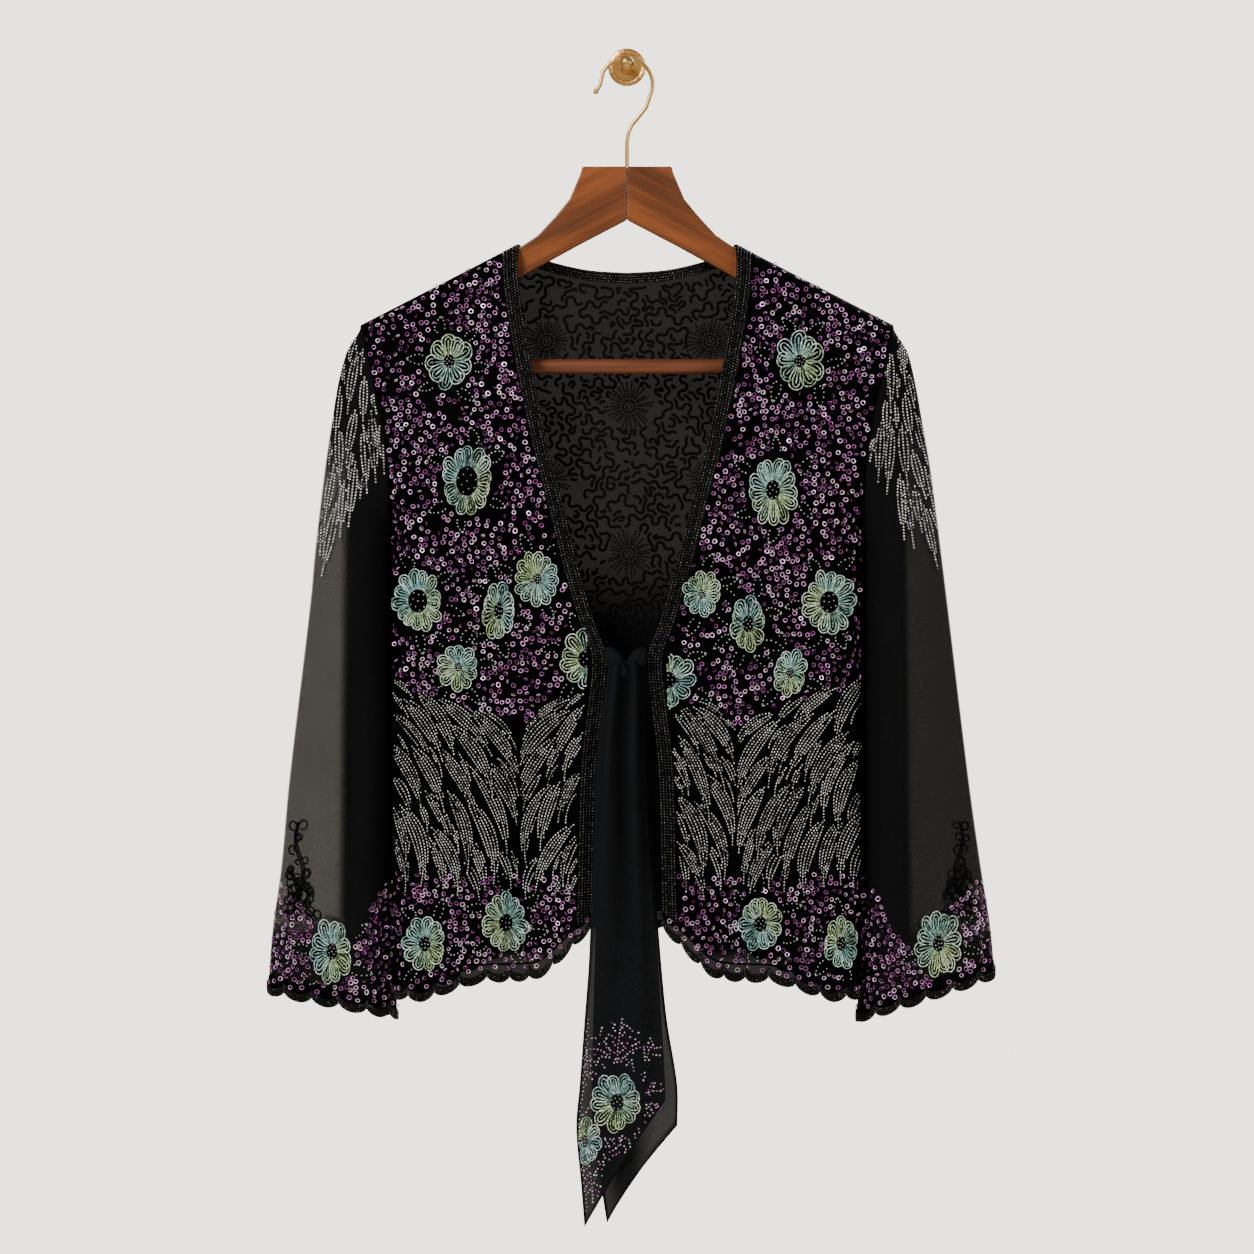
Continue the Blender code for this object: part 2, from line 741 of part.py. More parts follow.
def build_wall_hook(collection):
    """The rosette, and the peg with its ball end."""
    rim = ROSETTE_RADIUS
    thick = ROSETTE_THICKNESS
    rosette = [
        (0.0, thick),
        (rim * 0.70, thick),
        (rim * 0.76, thick - 0.0009),
        (rim * 0.84, thick - 0.0004),
        (rim * 0.95, thick - 0.0010),
        (rim, thick - 0.0022),
        (rim, 0.0),
        (0.0, 0.0),
    ]
    turned("wall_rosette", rosette, "brass", collection)
    foot = thick + SEAM
    centre = -BALL_Y
    peg = [
        (0.0, centre + BALL_RADIUS),
        *[
            (BALL_RADIUS * math.cos(turn), centre + BALL_RADIUS * math.sin(turn))
            for turn in (math.radians(blend(71.0, -62.0, i / 7)) for i in range(8))
        ],
        (PEG_RADIUS, centre - BALL_RADIUS - 0.0004),
        (PEG_RADIUS, foot + 0.0080),
        (0.0044, foot + 0.0030),
        (0.0058, foot),
        (0.0, foot),
    ]
    turned("wall_peg", peg, "brass", collection)


def main():
    for old in list(bpy.data.objects):
        bpy.data.objects.remove(old)
    collection = bpy.data.collections.new("beaded_jacket")
    bpy.context.scene.collection.children.link(collection)
    build_jacket(collection)
    build_tie(collection)
    build_hanger(collection)
    build_wall_hook(collection)


main()
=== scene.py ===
"""The looks of a short, sheer black evening jacket on a wooden hanger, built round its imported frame.

Frame: metres, +Z up, the wall is the plane Y = 0 and the room is towards -Y.
All cloth is shaped by the cut below, and everything sewn on is laid on that same cut.
"""

import logging
import math
from abc import ABC, abstractmethod
from collections.abc import Callable
from dataclasses import dataclass, field
from enum import Enum

import bpy
import numpy as np
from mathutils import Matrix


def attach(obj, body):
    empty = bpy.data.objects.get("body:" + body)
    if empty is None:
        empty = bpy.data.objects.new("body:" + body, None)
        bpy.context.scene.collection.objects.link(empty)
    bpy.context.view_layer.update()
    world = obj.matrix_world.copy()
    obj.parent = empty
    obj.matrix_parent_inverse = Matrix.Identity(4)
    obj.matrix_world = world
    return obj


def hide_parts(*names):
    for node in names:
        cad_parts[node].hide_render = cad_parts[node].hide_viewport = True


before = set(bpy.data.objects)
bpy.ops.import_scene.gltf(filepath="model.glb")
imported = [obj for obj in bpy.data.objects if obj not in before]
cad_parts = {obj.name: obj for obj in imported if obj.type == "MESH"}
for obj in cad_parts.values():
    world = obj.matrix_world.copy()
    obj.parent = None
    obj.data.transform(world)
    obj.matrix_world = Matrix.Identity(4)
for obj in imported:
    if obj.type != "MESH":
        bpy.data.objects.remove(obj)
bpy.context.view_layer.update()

LOG = logging.getLogger("jacket")
Array = np.ndarray
Value = float | np.ndarray
Triple = tuple[float, float, float]
Box = tuple[float, float, float, float]
Shape = tuple[np.ndarray, np.ndarray]
Holds = Callable[[np.ndarray, np.ndarray], np.ndarray]
Placing = Callable[[np.ndarray, np.ndarray], np.ndarray]
Way = Callable[[float, float], float]


# Numbers and tables


def blend(low: Value, high: Value, share: Value) -> Value:
    """The value at a share of the way from low to high.

    Args:
        low: the value at share 0.
        high: the value at share 1.
        share: the share, a number or an array.

    Returns:
        The blended value.
    """
    return low + (high - low) * share


def eased(share: Value) -> Value:
    """A share that leaves 0 and reaches 1 with no slope.

    Args:
        share: the plain share.

    Returns:
        The eased share, from 0 to 1.
    """
    share = np.clip(share, 0.0, 1.0)
    return share * share * (3.0 - 2.0 * share)


def quarter(share: Value) -> Value:
    """The height of a quarter ellipse, steep at 0 and level at 1.

    Args:
        share: how far along it, from 0 to 1.

    Returns:
        The height, from 0 to 1.
    """
    share = np.clip(share, 0.0, 1.0)
    return np.sqrt(1.0 - (1.0 - share) ** 2)


def read(rows: tuple, at: Value, column: int = 1) -> Value:
    """A smooth curve through a table's rows.

    Args:
        rows: rows of numbers, with the value that is looked up first.
        at: where to read it, a number or an array.
        column: which column to read.

    Returns:
        The table's values there.
    """
    table = np.array(sorted(rows), float)
    xs, ys = table[:, 0], table[:, column]
    rows_at = np.arange(len(xs))
    before, after = np.maximum(rows_at - 1, 0), np.minimum(rows_at + 1, len(xs) - 1)
    slopes = (ys[after] - ys[before]) / (xs[after] - xs[before])
    at = np.clip(np.asarray(at, float), xs[0], xs[-1])
    i = np.clip(np.searchsorted(xs, at, side="right") - 1, 0, len(xs) - 2)
    length = xs[i + 1] - xs[i]
    t = (at - xs[i]) / length
    return (
        (2 * t**3 - 3 * t**2 + 1) * ys[i]
        + (t**3 - 2 * t**2 + t) * length * slopes[i]
        + (3 * t**2 - 2 * t**3) * ys[i + 1]
        + (t**3 - t**2) * length * slopes[i + 1]
    )


def unit(vectors: Array) -> Array:
    """Vectors made one long.

    Args:
        vectors: an array whose last axis is X, Y, Z.

    Returns:
        The same directions, each of length 1.
    """
    return vectors / np.maximum(np.linalg.norm(vectors, axis=-1, keepdims=True), 1e-12)


class Side(Enum):
    """A side of the picture, as seen from the room."""

    LEFT = -1
    RIGHT = 1

    @property
    def word(self) -> str:
        """The side's name in lower case."""
        return self.name.lower()


class Face(Enum):
    """Which way a cloth looks."""

    ROOM = -1
    WALL = 1


# The cut


@dataclass(frozen=True)
class Cut:
    """The sizes that every piece of cloth shares."""

    middle_y: float = -0.043
    seam: float = 0.0003
    front_depth: float = 0.028
    back_depth: float = 0.024
    neck_x: float = 0.0846
    neck_z: float = -0.1411
    shoulder_x: float = 0.2087
    shoulder_z: float = -0.2050
    roll_rise: float = 0.010
    neck_hug: float = 0.0150
    shoulder_hug: float = 0.0170
    hang_drop: float = 0.150
    underarm_z: float = -0.3500
    armhole_depth: float = 0.026
    side_round: float = 0.028
    band_width: float = 0.0118
    side_line: tuple = (
        (-0.2050, 0.2087),
        (-0.2220, 0.2050),
        (-0.2380, 0.2010),
        (-0.2690, 0.1940),
        (-0.2965, 0.1890),
        (-0.3200, 0.1858),
        (-0.3500, 0.1840),
        (-0.4000, 0.1835),
        (-0.5500, 0.1830),
        (-0.7350, 0.1820),
    )
    front_edge_line: tuple = (
        (-0.1430, 0.0855),
        (-0.1700, 0.0850),
        (-0.2290, 0.0760),
        (-0.2990, 0.0620),
        (-0.3390, 0.0515),
        (-0.3920, 0.0385),
        (-0.4370, 0.0255),
        (-0.4640, 0.0162),
        (-0.5000, 0.0185),
        (-0.5370, 0.0230),
        (-0.5720, 0.0252),
        (-0.6310, 0.0265),
        (-0.6800, 0.0275),
    )
    front_hem_line: tuple = (
        (0.0270, -0.6640),
        (0.0470, -0.6840),
        (0.0660, -0.7010),
        (0.0860, -0.7055),
        (0.1130, -0.7060),
        (0.1365, -0.7130),
        (0.1600, -0.7205),
        (0.1820, -0.7190),
    )
    back_hem_line: tuple = (
        (0.0000, -0.6640),
        (0.0600, -0.6690),
        (0.1100, -0.6920),
        (0.1500, -0.7130),
        (0.1820, -0.7190),
    )
    back_neck_line: tuple = (
        (0.0000, -0.1633),
        (0.0300, -0.1612),
        (0.0570, -0.1554),
        (0.0720, -0.1500),
        (0.0810, -0.1452),
        (0.0846, -0.1411),
    )
    back_seam_line: tuple = (
        (0.0000, -0.1725),
        (0.0300, -0.1704),
        (0.0570, -0.1646),
        (0.0749, -0.1592),
        (0.0873, -0.1545),
        (0.0928, -0.1522),
        (0.0950, -0.1500),
        (0.0960, -0.1470),
    )
    left_folds: tuple = (
        (0.34, -0.400, 0.0130, 0.0100),
        (0.62, -0.380, -0.0040, 0.0220),
        (0.83, -0.520, 0.0035, 0.0110),
        (0.12, -0.480, -0.0030, 0.0140),
    )
    right_folds: tuple = (
        (0.33, -0.420, 0.0115, 0.0105),
        (0.60, -0.400, -0.0045, 0.0230),
        (0.85, -0.560, 0.0030, 0.0120),
        (0.13, -0.500, -0.0025, 0.0140),
    )
    back_folds: tuple = (
        (-0.0980, -0.340, 0.0065, 0.0170),
        (-0.0350, -0.420, 0.0035, 0.0150),
        (0.0280, -0.380, 0.0050, 0.0180),
        (0.1020, -0.360, 0.0070, 0.0160),
    )
    sleeve_outer_line: tuple = (
        (-0.2050, 0.2095, 0.2095),
        (-0.2120, 0.2145, 0.2145),
        (-0.2300, 0.2210, 0.2212),
        (-0.2530, 0.2268, 0.2265),
        (-0.2810, 0.2312, 0.2315),
        (-0.3170, 0.2368, 0.2378),
        (-0.3820, 0.2446, 0.2462),
        (-0.4210, 0.2482, 0.2510),
        (-0.5620, 0.2649, 0.2680),
        (-0.6300, 0.2712, 0.2775),
        (-0.6780, 0.2777, 0.2850),
        (-0.7300, 0.2816, 0.2890),
    )
    sleeve_tuck: float = 0.0010
    sleeve_lean: float = 0.0120
    lean_share: float = 0.12
    head_release: float = 0.045
    seam_release: float = 0.25
    cuff_outer_z: tuple = (-0.7160, -0.7040)
    cuff_inner_z: tuple = (-0.7360, -0.7390)
    cuff_depth: float = 0.025
    elbow_depth: float = 0.029
    sleeve_folds: tuple = (
        (96.0, 0.0065, 15.0),
        (148.0, 0.0030, 12.0),
        (262.0, 0.0060, 16.0),
        (212.0, 0.0030, 12.0),
    )

    def ridge_z(self, x: Value) -> Value:
        """The shoulder ridge's height at a distance x from the centre line."""
        slope = (self.shoulder_z - self.neck_z) / (self.shoulder_x - self.neck_x)
        return self.neck_z + np.maximum(np.abs(x) - self.neck_x, 0.0) * slope

    def side_x(self, z: Value) -> Value:
        """Half the body's width at a height."""
        return read(self.side_line, z)

    def armhole(self, z: Value) -> Value:
        """How far the armhole seam stands off the middle plane at a height."""
        share = np.clip((self.shoulder_z - z) / (self.shoulder_z - self.underarm_z), 0.0, 1.0)
        return self.armhole_depth * np.sqrt(np.maximum(1.0 - (1.0 - 2.0 * share) ** 2, 0.0))

    def body_depth(self, x: Value, z: Value, full: float) -> Value:
        """How far the front or back stands off the middle plane, before its folds."""
        below = self.ridge_z(x) - z
        outward = eased((np.abs(x) - self.neck_x) / (self.shoulder_x - self.neck_x))
        hug = blend(self.neck_hug, self.shoulder_hug, outward)
        hanging = blend(hug, full, eased(below / self.hang_drop)) * quarter(below / self.roll_rise)
        seam = self.armhole(z)
        inward = (self.side_x(z) - np.abs(x)) / self.side_round
        return seam + (hanging - seam) * np.where(hanging > seam, quarter(inward), eased(inward))

    def seam_x(self, z: Value) -> Value:
        """Where the band is sewn to the front, as a distance from the centre line."""
        return read(self.front_edge_line, z) + self.band_width

    def back_top(self, x: Value) -> Value:
        """The height of the back's top edge."""
        inside = np.abs(x) < self.back_seam_line[-1][0]
        return np.where(inside, read(self.back_seam_line, np.abs(x)), self.ridge_z(x))


CUT = Cut()


@dataclass
class Frames:
    """Places on a cloth: a centre and three directions for each."""

    centre: Array
    along: Array
    across: Array
    up: Array

    def lifted(self, height: Value) -> "Frames":
        """The same places, moved off the cloth.

        Args:
            height: how far, in metres.

        Returns:
            The moved places.
        """
        centre = self.centre + self.up * np.asarray(height)[..., None]
        return Frames(centre, self.along, self.across, self.up)


class Surface(ABC):
    """A cloth's outer face, read by the X and Z it has in the picture."""

    facing: Face = Face.ROOM
    STEP = 0.0004

    @abstractmethod
    def at(self, x: Array, z: Array) -> Array:
        """Points of the cloth at that X and Z."""

    def frames(self, x: Value, z: Value, heading: Value = 0.0) -> Frames:
        """Places on the cloth, turned to a heading.

        Args:
            x: where, in metres.
            z: where, in metres.
            heading: the direction that `along` takes in the picture, in radians from +X.

        Returns:
            The places and their directions.
        """
        x, z = np.atleast_1d(np.asarray(x, float)), np.atleast_1d(np.asarray(z, float))
        heading = np.broadcast_to(np.asarray(heading, float), x.shape)
        sideways = unit(self.at(x + self.STEP, z) - self.at(x - self.STEP, z))
        upright = unit(self.at(x, z + self.STEP) - self.at(x, z - self.STEP))
        up = unit(np.cross(sideways, upright)) * (1.0 if self.facing is Face.ROOM else -1.0)
        along = sideways * np.cos(heading)[:, None] + upright * np.sin(heading)[:, None]
        along = unit(along - up * (along * up).sum(1, keepdims=True))
        return Frames(self.at(x, z), along, np.cross(up, along), up)


def folded(x: Value, z: Value, folds: tuple | list, hem: float = -0.70) -> Value:
    """How far folds pull the cloth inwards.

    Args:
        x: distances across, in metres.
        z: heights, in metres.
        folds: rows of middle, start, depth and half width; a middle may be an array.
        hem: the height where a fold is deepest.

    Returns:
        The inward pull, in metres.
    """
    total = 0.0
    for middle, start, depth, width in folds:
        fallen = eased((start - z) / (start - hem))
        total = total + depth * fallen * np.exp(-(((x - middle) / width) ** 2))
    return total


@dataclass
class FrontSurface(Surface):
    """The outer face of one front, its band included."""

    side: Side

    def at(self, x: Array, z: Array) -> Array:
        """Points of the front; x is signed."""
        sign = self.side.value
        out = x * sign
        seam, edge = CUT.seam_x(z), CUT.side_x(z)
        rows = CUT.left_folds if self.side is Side.LEFT else CUT.right_folds
        folds = [(blend(seam, edge, share), start, depth, width) for share, start, depth, width in rows]
        fade = quarter((edge - out) / CUT.side_round)
        shift = 0.9 if self.side is Side.LEFT else 2.3
        ripple = np.sin(out / 0.0083 + shift + 1.4 * np.sin(z / 0.061 + shift)) * 0.0009
        ripple += np.sin(out / 0.0150 - z / 0.120 + shift * 2) * 0.0008
        ripple *= eased((-0.20 - z) / 0.20)
        y = CUT.middle_y - CUT.seam * 1.5 - CUT.body_depth(out, z, CUT.front_depth)
        return np.stack([x, y + (folded(out, z, folds) + ripple) * fade, z], -1)


@dataclass
class BackSurface(Surface):
    """The outer face of the back."""

    facing: Face = Face.WALL

    def at(self, x: Array, z: Array) -> Array:
        """Points of the back."""
        fade = quarter((CUT.side_x(z) - np.abs(x)) / CUT.side_round)
        ripple = np.sin(x / 0.0105 + 1.1 * np.sin(z / 0.075)) * 0.0010
        ripple += np.sin(x / 0.0190 + z / 0.140) * 0.0010
        ripple *= eased((-0.24 - z) / 0.22)
        y = CUT.middle_y + CUT.seam * 1.5 + CUT.body_depth(x, z, CUT.back_depth)
        return np.stack([x, y - (folded(x, z, CUT.back_folds) + ripple) * fade, z], -1)


@dataclass
class SleeveSurface(Surface):
    """The outer face of one sleeve: its half towards the room, or its half towards the wall."""

    side: Side
    facing: Face = Face.ROOM

    def spot(self, share: Array, down: Array) -> tuple[Array, Array]:
        """The distance out and the height at a share of the way in and a share of the way down."""
        k = 0 if self.side is Side.LEFT else 1
        outer_z = blend(CUT.shoulder_z, CUT.cuff_outer_z[k], down)
        inner_z = blend(CUT.underarm_z, CUT.cuff_inner_z[k], down)
        outer_x = read(CUT.sleeve_outer_line, outer_z, k + 1)
        inner_x = CUT.side_x(inner_z) + blend(CUT.seam, -CUT.sleeve_tuck, eased(down / CUT.lean_share))
        z = blend(outer_z, inner_z, share)
        x = blend(outer_x, inner_x, share)
        release = blend(CUT.head_release, CUT.seam_release, share)
        to_seam = (1.0 - np.minimum(down / release, 1.0)) ** 2
        return x + (CUT.side_x(z) + CUT.seam * 0.5 - x) * to_seam, z

    def round_at(self, turn: Array, down: Array) -> Array:
        """Points of the whole tube.

        Args:
            turn: the angle round from the outer line, in radians, through the room side first.
            down: 0 at the armhole to 1 at the cuff.

        Returns:
            The points.
        """
        k = 0 if self.side is Side.LEFT else 1
        share = (1.0 - np.cos(turn)) / 2.0
        x, z = self.spot(share, down)
        depth = blend(CUT.armhole_depth, CUT.elbow_depth, eased(down / 0.5))
        depth = blend(depth, CUT.cuff_depth, eased((down - 0.5) / 0.5))
        degrees = np.degrees(turn) % 360.0
        for middle, pull, width in CUT.sleeve_folds:
            fallen = eased((down - 0.18) / 0.7)
            depth = depth - pull * fallen * np.exp(-(((degrees - middle) / width) ** 2))
        wave = np.sin(degrees / 17.0 + 2.0 * np.sin(down * 7.0 + k)) * 0.0008
        wave = wave + np.sin(degrees / 9.0 + down * 11.0 + k * 2) * 0.0004
        depth = depth + wave * eased(down / 0.15) * (1.0 - 0.5 * eased((down - 0.8) / 0.2))
        lean = CUT.sleeve_lean * eased(down / CUT.lean_share) * share**2
        return np.stack([self.side.value * x, CUT.middle_y - depth * np.sin(turn) + lean, z], -1)

    def place_of(self, x: Array, z: Array) -> tuple[Array, Array]:
        """The turn and down that lie at an X and Z of the picture."""
        k = 0 if self.side is Side.LEFT else 1
        out = np.asarray(x, float) * self.side.value
        low = np.full(np.shape(out), 0.001)
        high = np.clip((CUT.shoulder_z - z) / (CUT.shoulder_z - CUT.underarm_z), 0.002, 0.999) + 0.0 * out
        for _ in range(24):
            share = (low + high) / 2
            top = blend(CUT.shoulder_z, CUT.underarm_z, share)
            cuff = blend(CUT.cuff_outer_z[k], CUT.cuff_inner_z[k], share)
            down = np.clip((z - top) / (cuff - top), 0.0, 1.0)
            outside = self.spot(share, down)[0] > out
            low, high = np.where(outside, share, low), np.where(outside, high, share)
        return np.arccos(1.0 - 2.0 * share), down

    def at(self, x: Array, z: Array) -> Array:
        """Points of this half of the sleeve; x is signed."""
        turn, down = self.place_of(x, z)
        return self.round_at(turn if self.facing is Face.ROOM else -turn, down)


@dataclass
class TailSurface(Surface):
    """The face of one of the tie's two tails."""

    edges: tuple
    end_z: tuple[float, float]
    y: float
    top_z: float = -0.4700
    pleats: float = 2.0
    shift: float = 0.0

    def span(self, z: Value) -> tuple[Array, Array]:
        """The left and right edges at a height."""
        return read(self.edges, z, 1), read(self.edges, z, 2)

    def at(self, x: Array, z: Array) -> Array:
        """Points of the tail."""
        left, right = self.span(z)
        across = (x - left) / (right - left)
        down = (self.top_z - z) / (self.top_z - min(self.end_z))
        deep = blend(0.0030, 0.0012, eased(down))
        wave = np.cos(2.0 * np.pi * self.pleats * across + self.shift * eased(down))
        small = np.sin(across * 19.0 + down * 5.0 + self.shift) * 0.0004
        return np.stack([x, self.y + deep * wave + small, z], -1)


# Meshes


def bead_shape() -> Shape:
    """A bead: an icosahedron of radius 1.

    Returns:
        Its points and its triangles.
    """
    g = (1 + 5**0.5) / 2
    points = [(-1, g, 0), (1, g, 0), (-1, -g, 0), (1, -g, 0), (0, -1, g), (0, 1, g)]
    points += [(0, -1, -g), (0, 1, -g), (g, 0, -1), (g, 0, 1), (-g, 0, -1), (-g, 0, 1)]
    faces = [(0, 11, 5), (0, 5, 1), (0, 1, 7), (0, 7, 10), (0, 10, 11), (1, 5, 9), (5, 11, 4)]
    faces += [(11, 10, 2), (10, 7, 6), (7, 1, 8), (3, 9, 4), (3, 4, 2), (3, 2, 6), (3, 6, 8)]
    faces += [(3, 8, 9), (4, 9, 5), (2, 4, 11), (6, 2, 10), (8, 6, 7), (9, 8, 1)]
    return unit(np.array(points, float)), np.array(faces)


def dot_shape() -> Shape:
    """A very small bead: an octahedron of radius 1.

    Returns:
        Its points and its triangles.
    """
    points = [(1, 0, 0), (-1, 0, 0), (0, 1, 0), (0, -1, 0), (0, 0, 1), (0, 0, -1)]
    faces = [(0, 2, 4), (2, 1, 4), (1, 3, 4), (3, 0, 4)]
    faces += [(2, 0, 5), (1, 2, 5), (3, 1, 5), (0, 3, 5)]
    return np.array(points, float), np.array(faces)


def ring_shape(hole: float, dish: float, sides: int = 9) -> Shape:
    """A sequin: a dished ring of radius 1.

    Args:
        hole: the hole's radius.
        dish: how far the hole's rim lies below the outer rim.
        sides: how many sides its round has.

    Returns:
        Its points and its triangles.
    """
    turns = 2 * np.pi * np.arange(sides) / sides
    rings = [(1.0, 0.0), ((1 + hole) / 2, dish * 0.15), (hole, -dish)]
    points = [(r * math.cos(a), r * math.sin(a), h) for r, h in rings for a in turns]
    faces = []
    for k in range(len(rings) - 1):
        for i in range(sides):
            j = (i + 1) % sides
            a, b, c, d = k * sides + i, k * sides + j, (k + 1) * sides + j, (k + 1) * sides + i
            faces += [(a, b, c), (a, c, d)]
    return np.array(points, float), np.array(faces)


@dataclass
class Pile:
    """Many small solids, gathered into one mesh with a tint and a shade for each."""

    name: str
    points: list[Array] = field(default_factory=list)
    faces: list[Array] = field(default_factory=list)
    tints: list[Array] = field(default_factory=list)
    shades: list[Array] = field(default_factory=list)
    held: int = 0

    def _take(self, points: Array, faces: Array, tints: Array, shades: Array) -> None:
        self.points.append(points)
        self.faces.append(faces + self.held)
        self.tints.append(tints)
        self.shades.append(shades)
        self.held += len(points)

    def copies(self, shape: Shape, at: Frames, scale: Triple | Array, tint: Value, shade: Value) -> None:
        """Adds a copy of a shape at each place.

        Args:
            shape: the shape's points and triangles.
            at: the places.
            scale: the size along, across and up.
            tint: a number from 0 to 1 for each copy.
            shade: the same.
        """
        base, faces = shape
        n = len(at.centre)
        if not n:
            return
        scale = np.broadcast_to(np.asarray(scale, float), (n, 3))
        axes = np.stack([at.along, at.across, at.up], 1) * scale[:, :, None]
        points = at.centre[:, None] + np.einsum("mk,nkc->nmc", base, axes)
        faces = faces[None] + (np.arange(n) * len(base))[:, None, None]
        spread = [np.repeat(np.broadcast_to(v, (n,)), len(base)) for v in (tint, shade)]
        self._take(points.reshape(-1, 3), faces.reshape(-1, 3), *spread)

    def ribs(self, lines: Array, ups: Array, half_width: float, height: float,
             tint: Value, shade: Value) -> None:
        """Adds raised threads that lie on a cloth.

        Args:
            lines: the threads' middle lines, n by m points.
            ups: the cloth's outward direction at each point.
            half_width: half a thread's width.
            height: how high it stands.
            tint: a number from 0 to 1 for each thread.
            shade: the same.
        """
        n, m = lines.shape[:2]
        if not n:
            return
        run = unit(np.gradient(lines, axis=1))
        side = unit(np.cross(ups, run)) * half_width
        foot = lines - ups * height * 0.4
        crown, narrow = ups * height * 0.72, side * 0.62
        points = np.stack([foot - side, lines - narrow + crown, lines + narrow + crown, foot + side], 2)
        starts = np.arange(m - 1) * 4
        quads = [np.stack([starts + k, starts + k + 1, starts + k + 5, starts + k + 4], 1) for k in range(3)]
        quads = np.concatenate(quads)
        faces = np.concatenate([quads[:, [0, 1, 2]], quads[:, [0, 2, 3]]])[:, ::-1]
        faces = faces[None] + (np.arange(n) * m * 4)[:, None, None]
        spread = [np.repeat(np.broadcast_to(v, (n,)), m * 4) for v in (tint, shade)]
        self._take(points.reshape(-1, 3), faces.reshape(-1, 3), *spread)

    def build(self, finish: bpy.types.Material) -> bpy.types.Object:
        """Makes the mesh.

        Args:
            finish: its material.

        Returns:
            The new object, which rides on the frame's one body.
        """
        points, faces = np.concatenate(self.points), np.concatenate(self.faces)
        mesh = bpy.data.meshes.new(self.name)
        mesh.vertices.add(len(points))
        mesh.vertices.foreach_set("co", points.astype(np.float32).ravel())
        mesh.loops.add(len(faces) * 3)
        mesh.loops.foreach_set("vertex_index", faces.astype(np.int32).ravel())
        mesh.polygons.add(len(faces))
        mesh.polygons.foreach_set("loop_start", np.arange(0, len(faces) * 3, 3, dtype=np.int32))
        mesh.update(calc_edges=True)
        for label, values in (("tint", self.tints), ("shade", self.shades)):
            layer = mesh.attributes.new(label, "FLOAT", "POINT")
            layer.data.foreach_set("value", np.concatenate(values).astype(np.float32))
        mesh.shade_smooth()
        made = bpy.data.objects.new(self.name, mesh)
        bpy.context.scene.collection.objects.link(made)
        mesh.materials.append(finish)
        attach(made, "root")
        LOG.info("%s: %d triangles", self.name, len(faces))
        return made


def points_of(piece: bpy.types.Object) -> Array:
    """An object's points, n by 3."""
    flat = np.empty(len(piece.data.vertices) * 3, np.float32)
    piece.data.vertices.foreach_get("co", flat)
    return flat.reshape(-1, 3)


def set_points(piece: bpy.types.Object, points: Array) -> None:
    """Moves an object's points."""
    piece.data.vertices.foreach_set("co", points.astype(np.float32).ravel())
    piece.data.update()


def grid_piece(name: str, columns: int, rows: int, place: Placing, finish: bpy.types.Material,
               wall: float, joined: bool = False, outward: float = -1.0) -> bpy.types.Object:
    """A wall of cloth, shaped from a flat grid.

    Args:
        name: the new object's name.
        columns: how many faces across.
        rows: how many faces down.
        place: called with the column and row numbers, as arrays; gives the points.
        finish: its material.
        wall: its thickness, in metres.
        joined: whether the last column meets the first.
        outward: the offset of the wall from the shaped face.

    Returns:
        The finished object.
    """
    bpy.ops.object.select_all(action="DESELECT")
    bpy.ops.mesh.primitive_grid_add(x_subdivisions=columns, y_subdivisions=rows, size=1.0)
    made = bpy.context.object
    made.name = name
    flat = points_of(made)
    across = np.rint((flat[:, 0] + 0.5) * columns).astype(int)
    down = np.rint((0.5 - flat[:, 1]) * rows).astype(int)
    if joined:
        across = across % columns
    set_points(made, place(across, down))
    if joined:
        bpy.ops.object.mode_set(mode="EDIT")
        bpy.ops.mesh.select_all(action="SELECT")
        bpy.ops.mesh.remove_doubles(threshold=0.000001)
        bpy.ops.object.mode_set(mode="OBJECT")
    shell = made.modifiers.new("wall", "SOLIDIFY")
    shell.thickness = wall
    shell.offset = outward
    bpy.ops.object.modifier_apply(modifier="wall")
    bpy.ops.object.shade_smooth()
    made.data.materials.clear()
    made.data.materials.append(finish)
    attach(made, "root")
    LOG.info("%s: %d faces", name, len(made.data.polygons))
    return made


# Shader maths


class Socket:
    """A node's output, with arithmetic that adds the nodes it needs."""

    def __init__(self, tree: "ShaderTree", output: bpy.types.NodeSocket):
        self.tree = tree
        self.output = output

    def _maths(self, operation: str, *values) -> "Socket":
        return self.tree.node("ShaderNodeMath", {"operation": operation}, dict(enumerate(values)))

    def __add__(self, other: "Socket | float") -> "Socket":
        return self._maths("ADD", self, other)

    def __radd__(self, other: "Socket | float") -> "Socket":
        return self._maths("ADD", other, self)

    def __sub__(self, other: "Socket | float") -> "Socket":
        return self._maths("SUBTRACT", self, other)

    def __rsub__(self, other: "Socket | float") -> "Socket":
        return self._maths("SUBTRACT", other, self)

    def __mul__(self, other: "Socket | float") -> "Socket":
        return self._maths("MULTIPLY", self, other)

    def __rmul__(self, other: "Socket | float") -> "Socket":
        return self._maths("MULTIPLY", other, self)

    def clamped(self) -> "Socket":
        """The value held between 0 and 1."""
        return self.tree.node("ShaderNodeClamp", {}, {0: self})

    def stretched(self, low: float, high: float, to_low: float = 0.0, to_high: float = 1.0) -> "Socket":
        """The value mapped smoothly from low-high to another range."""
        settings = {"interpolation_type": "SMOOTHSTEP"}
        values = {0: self, 1: low, 2: high, 3: to_low, 4: to_high}
        return self.tree.node("ShaderNodeMapRange", settings, values)


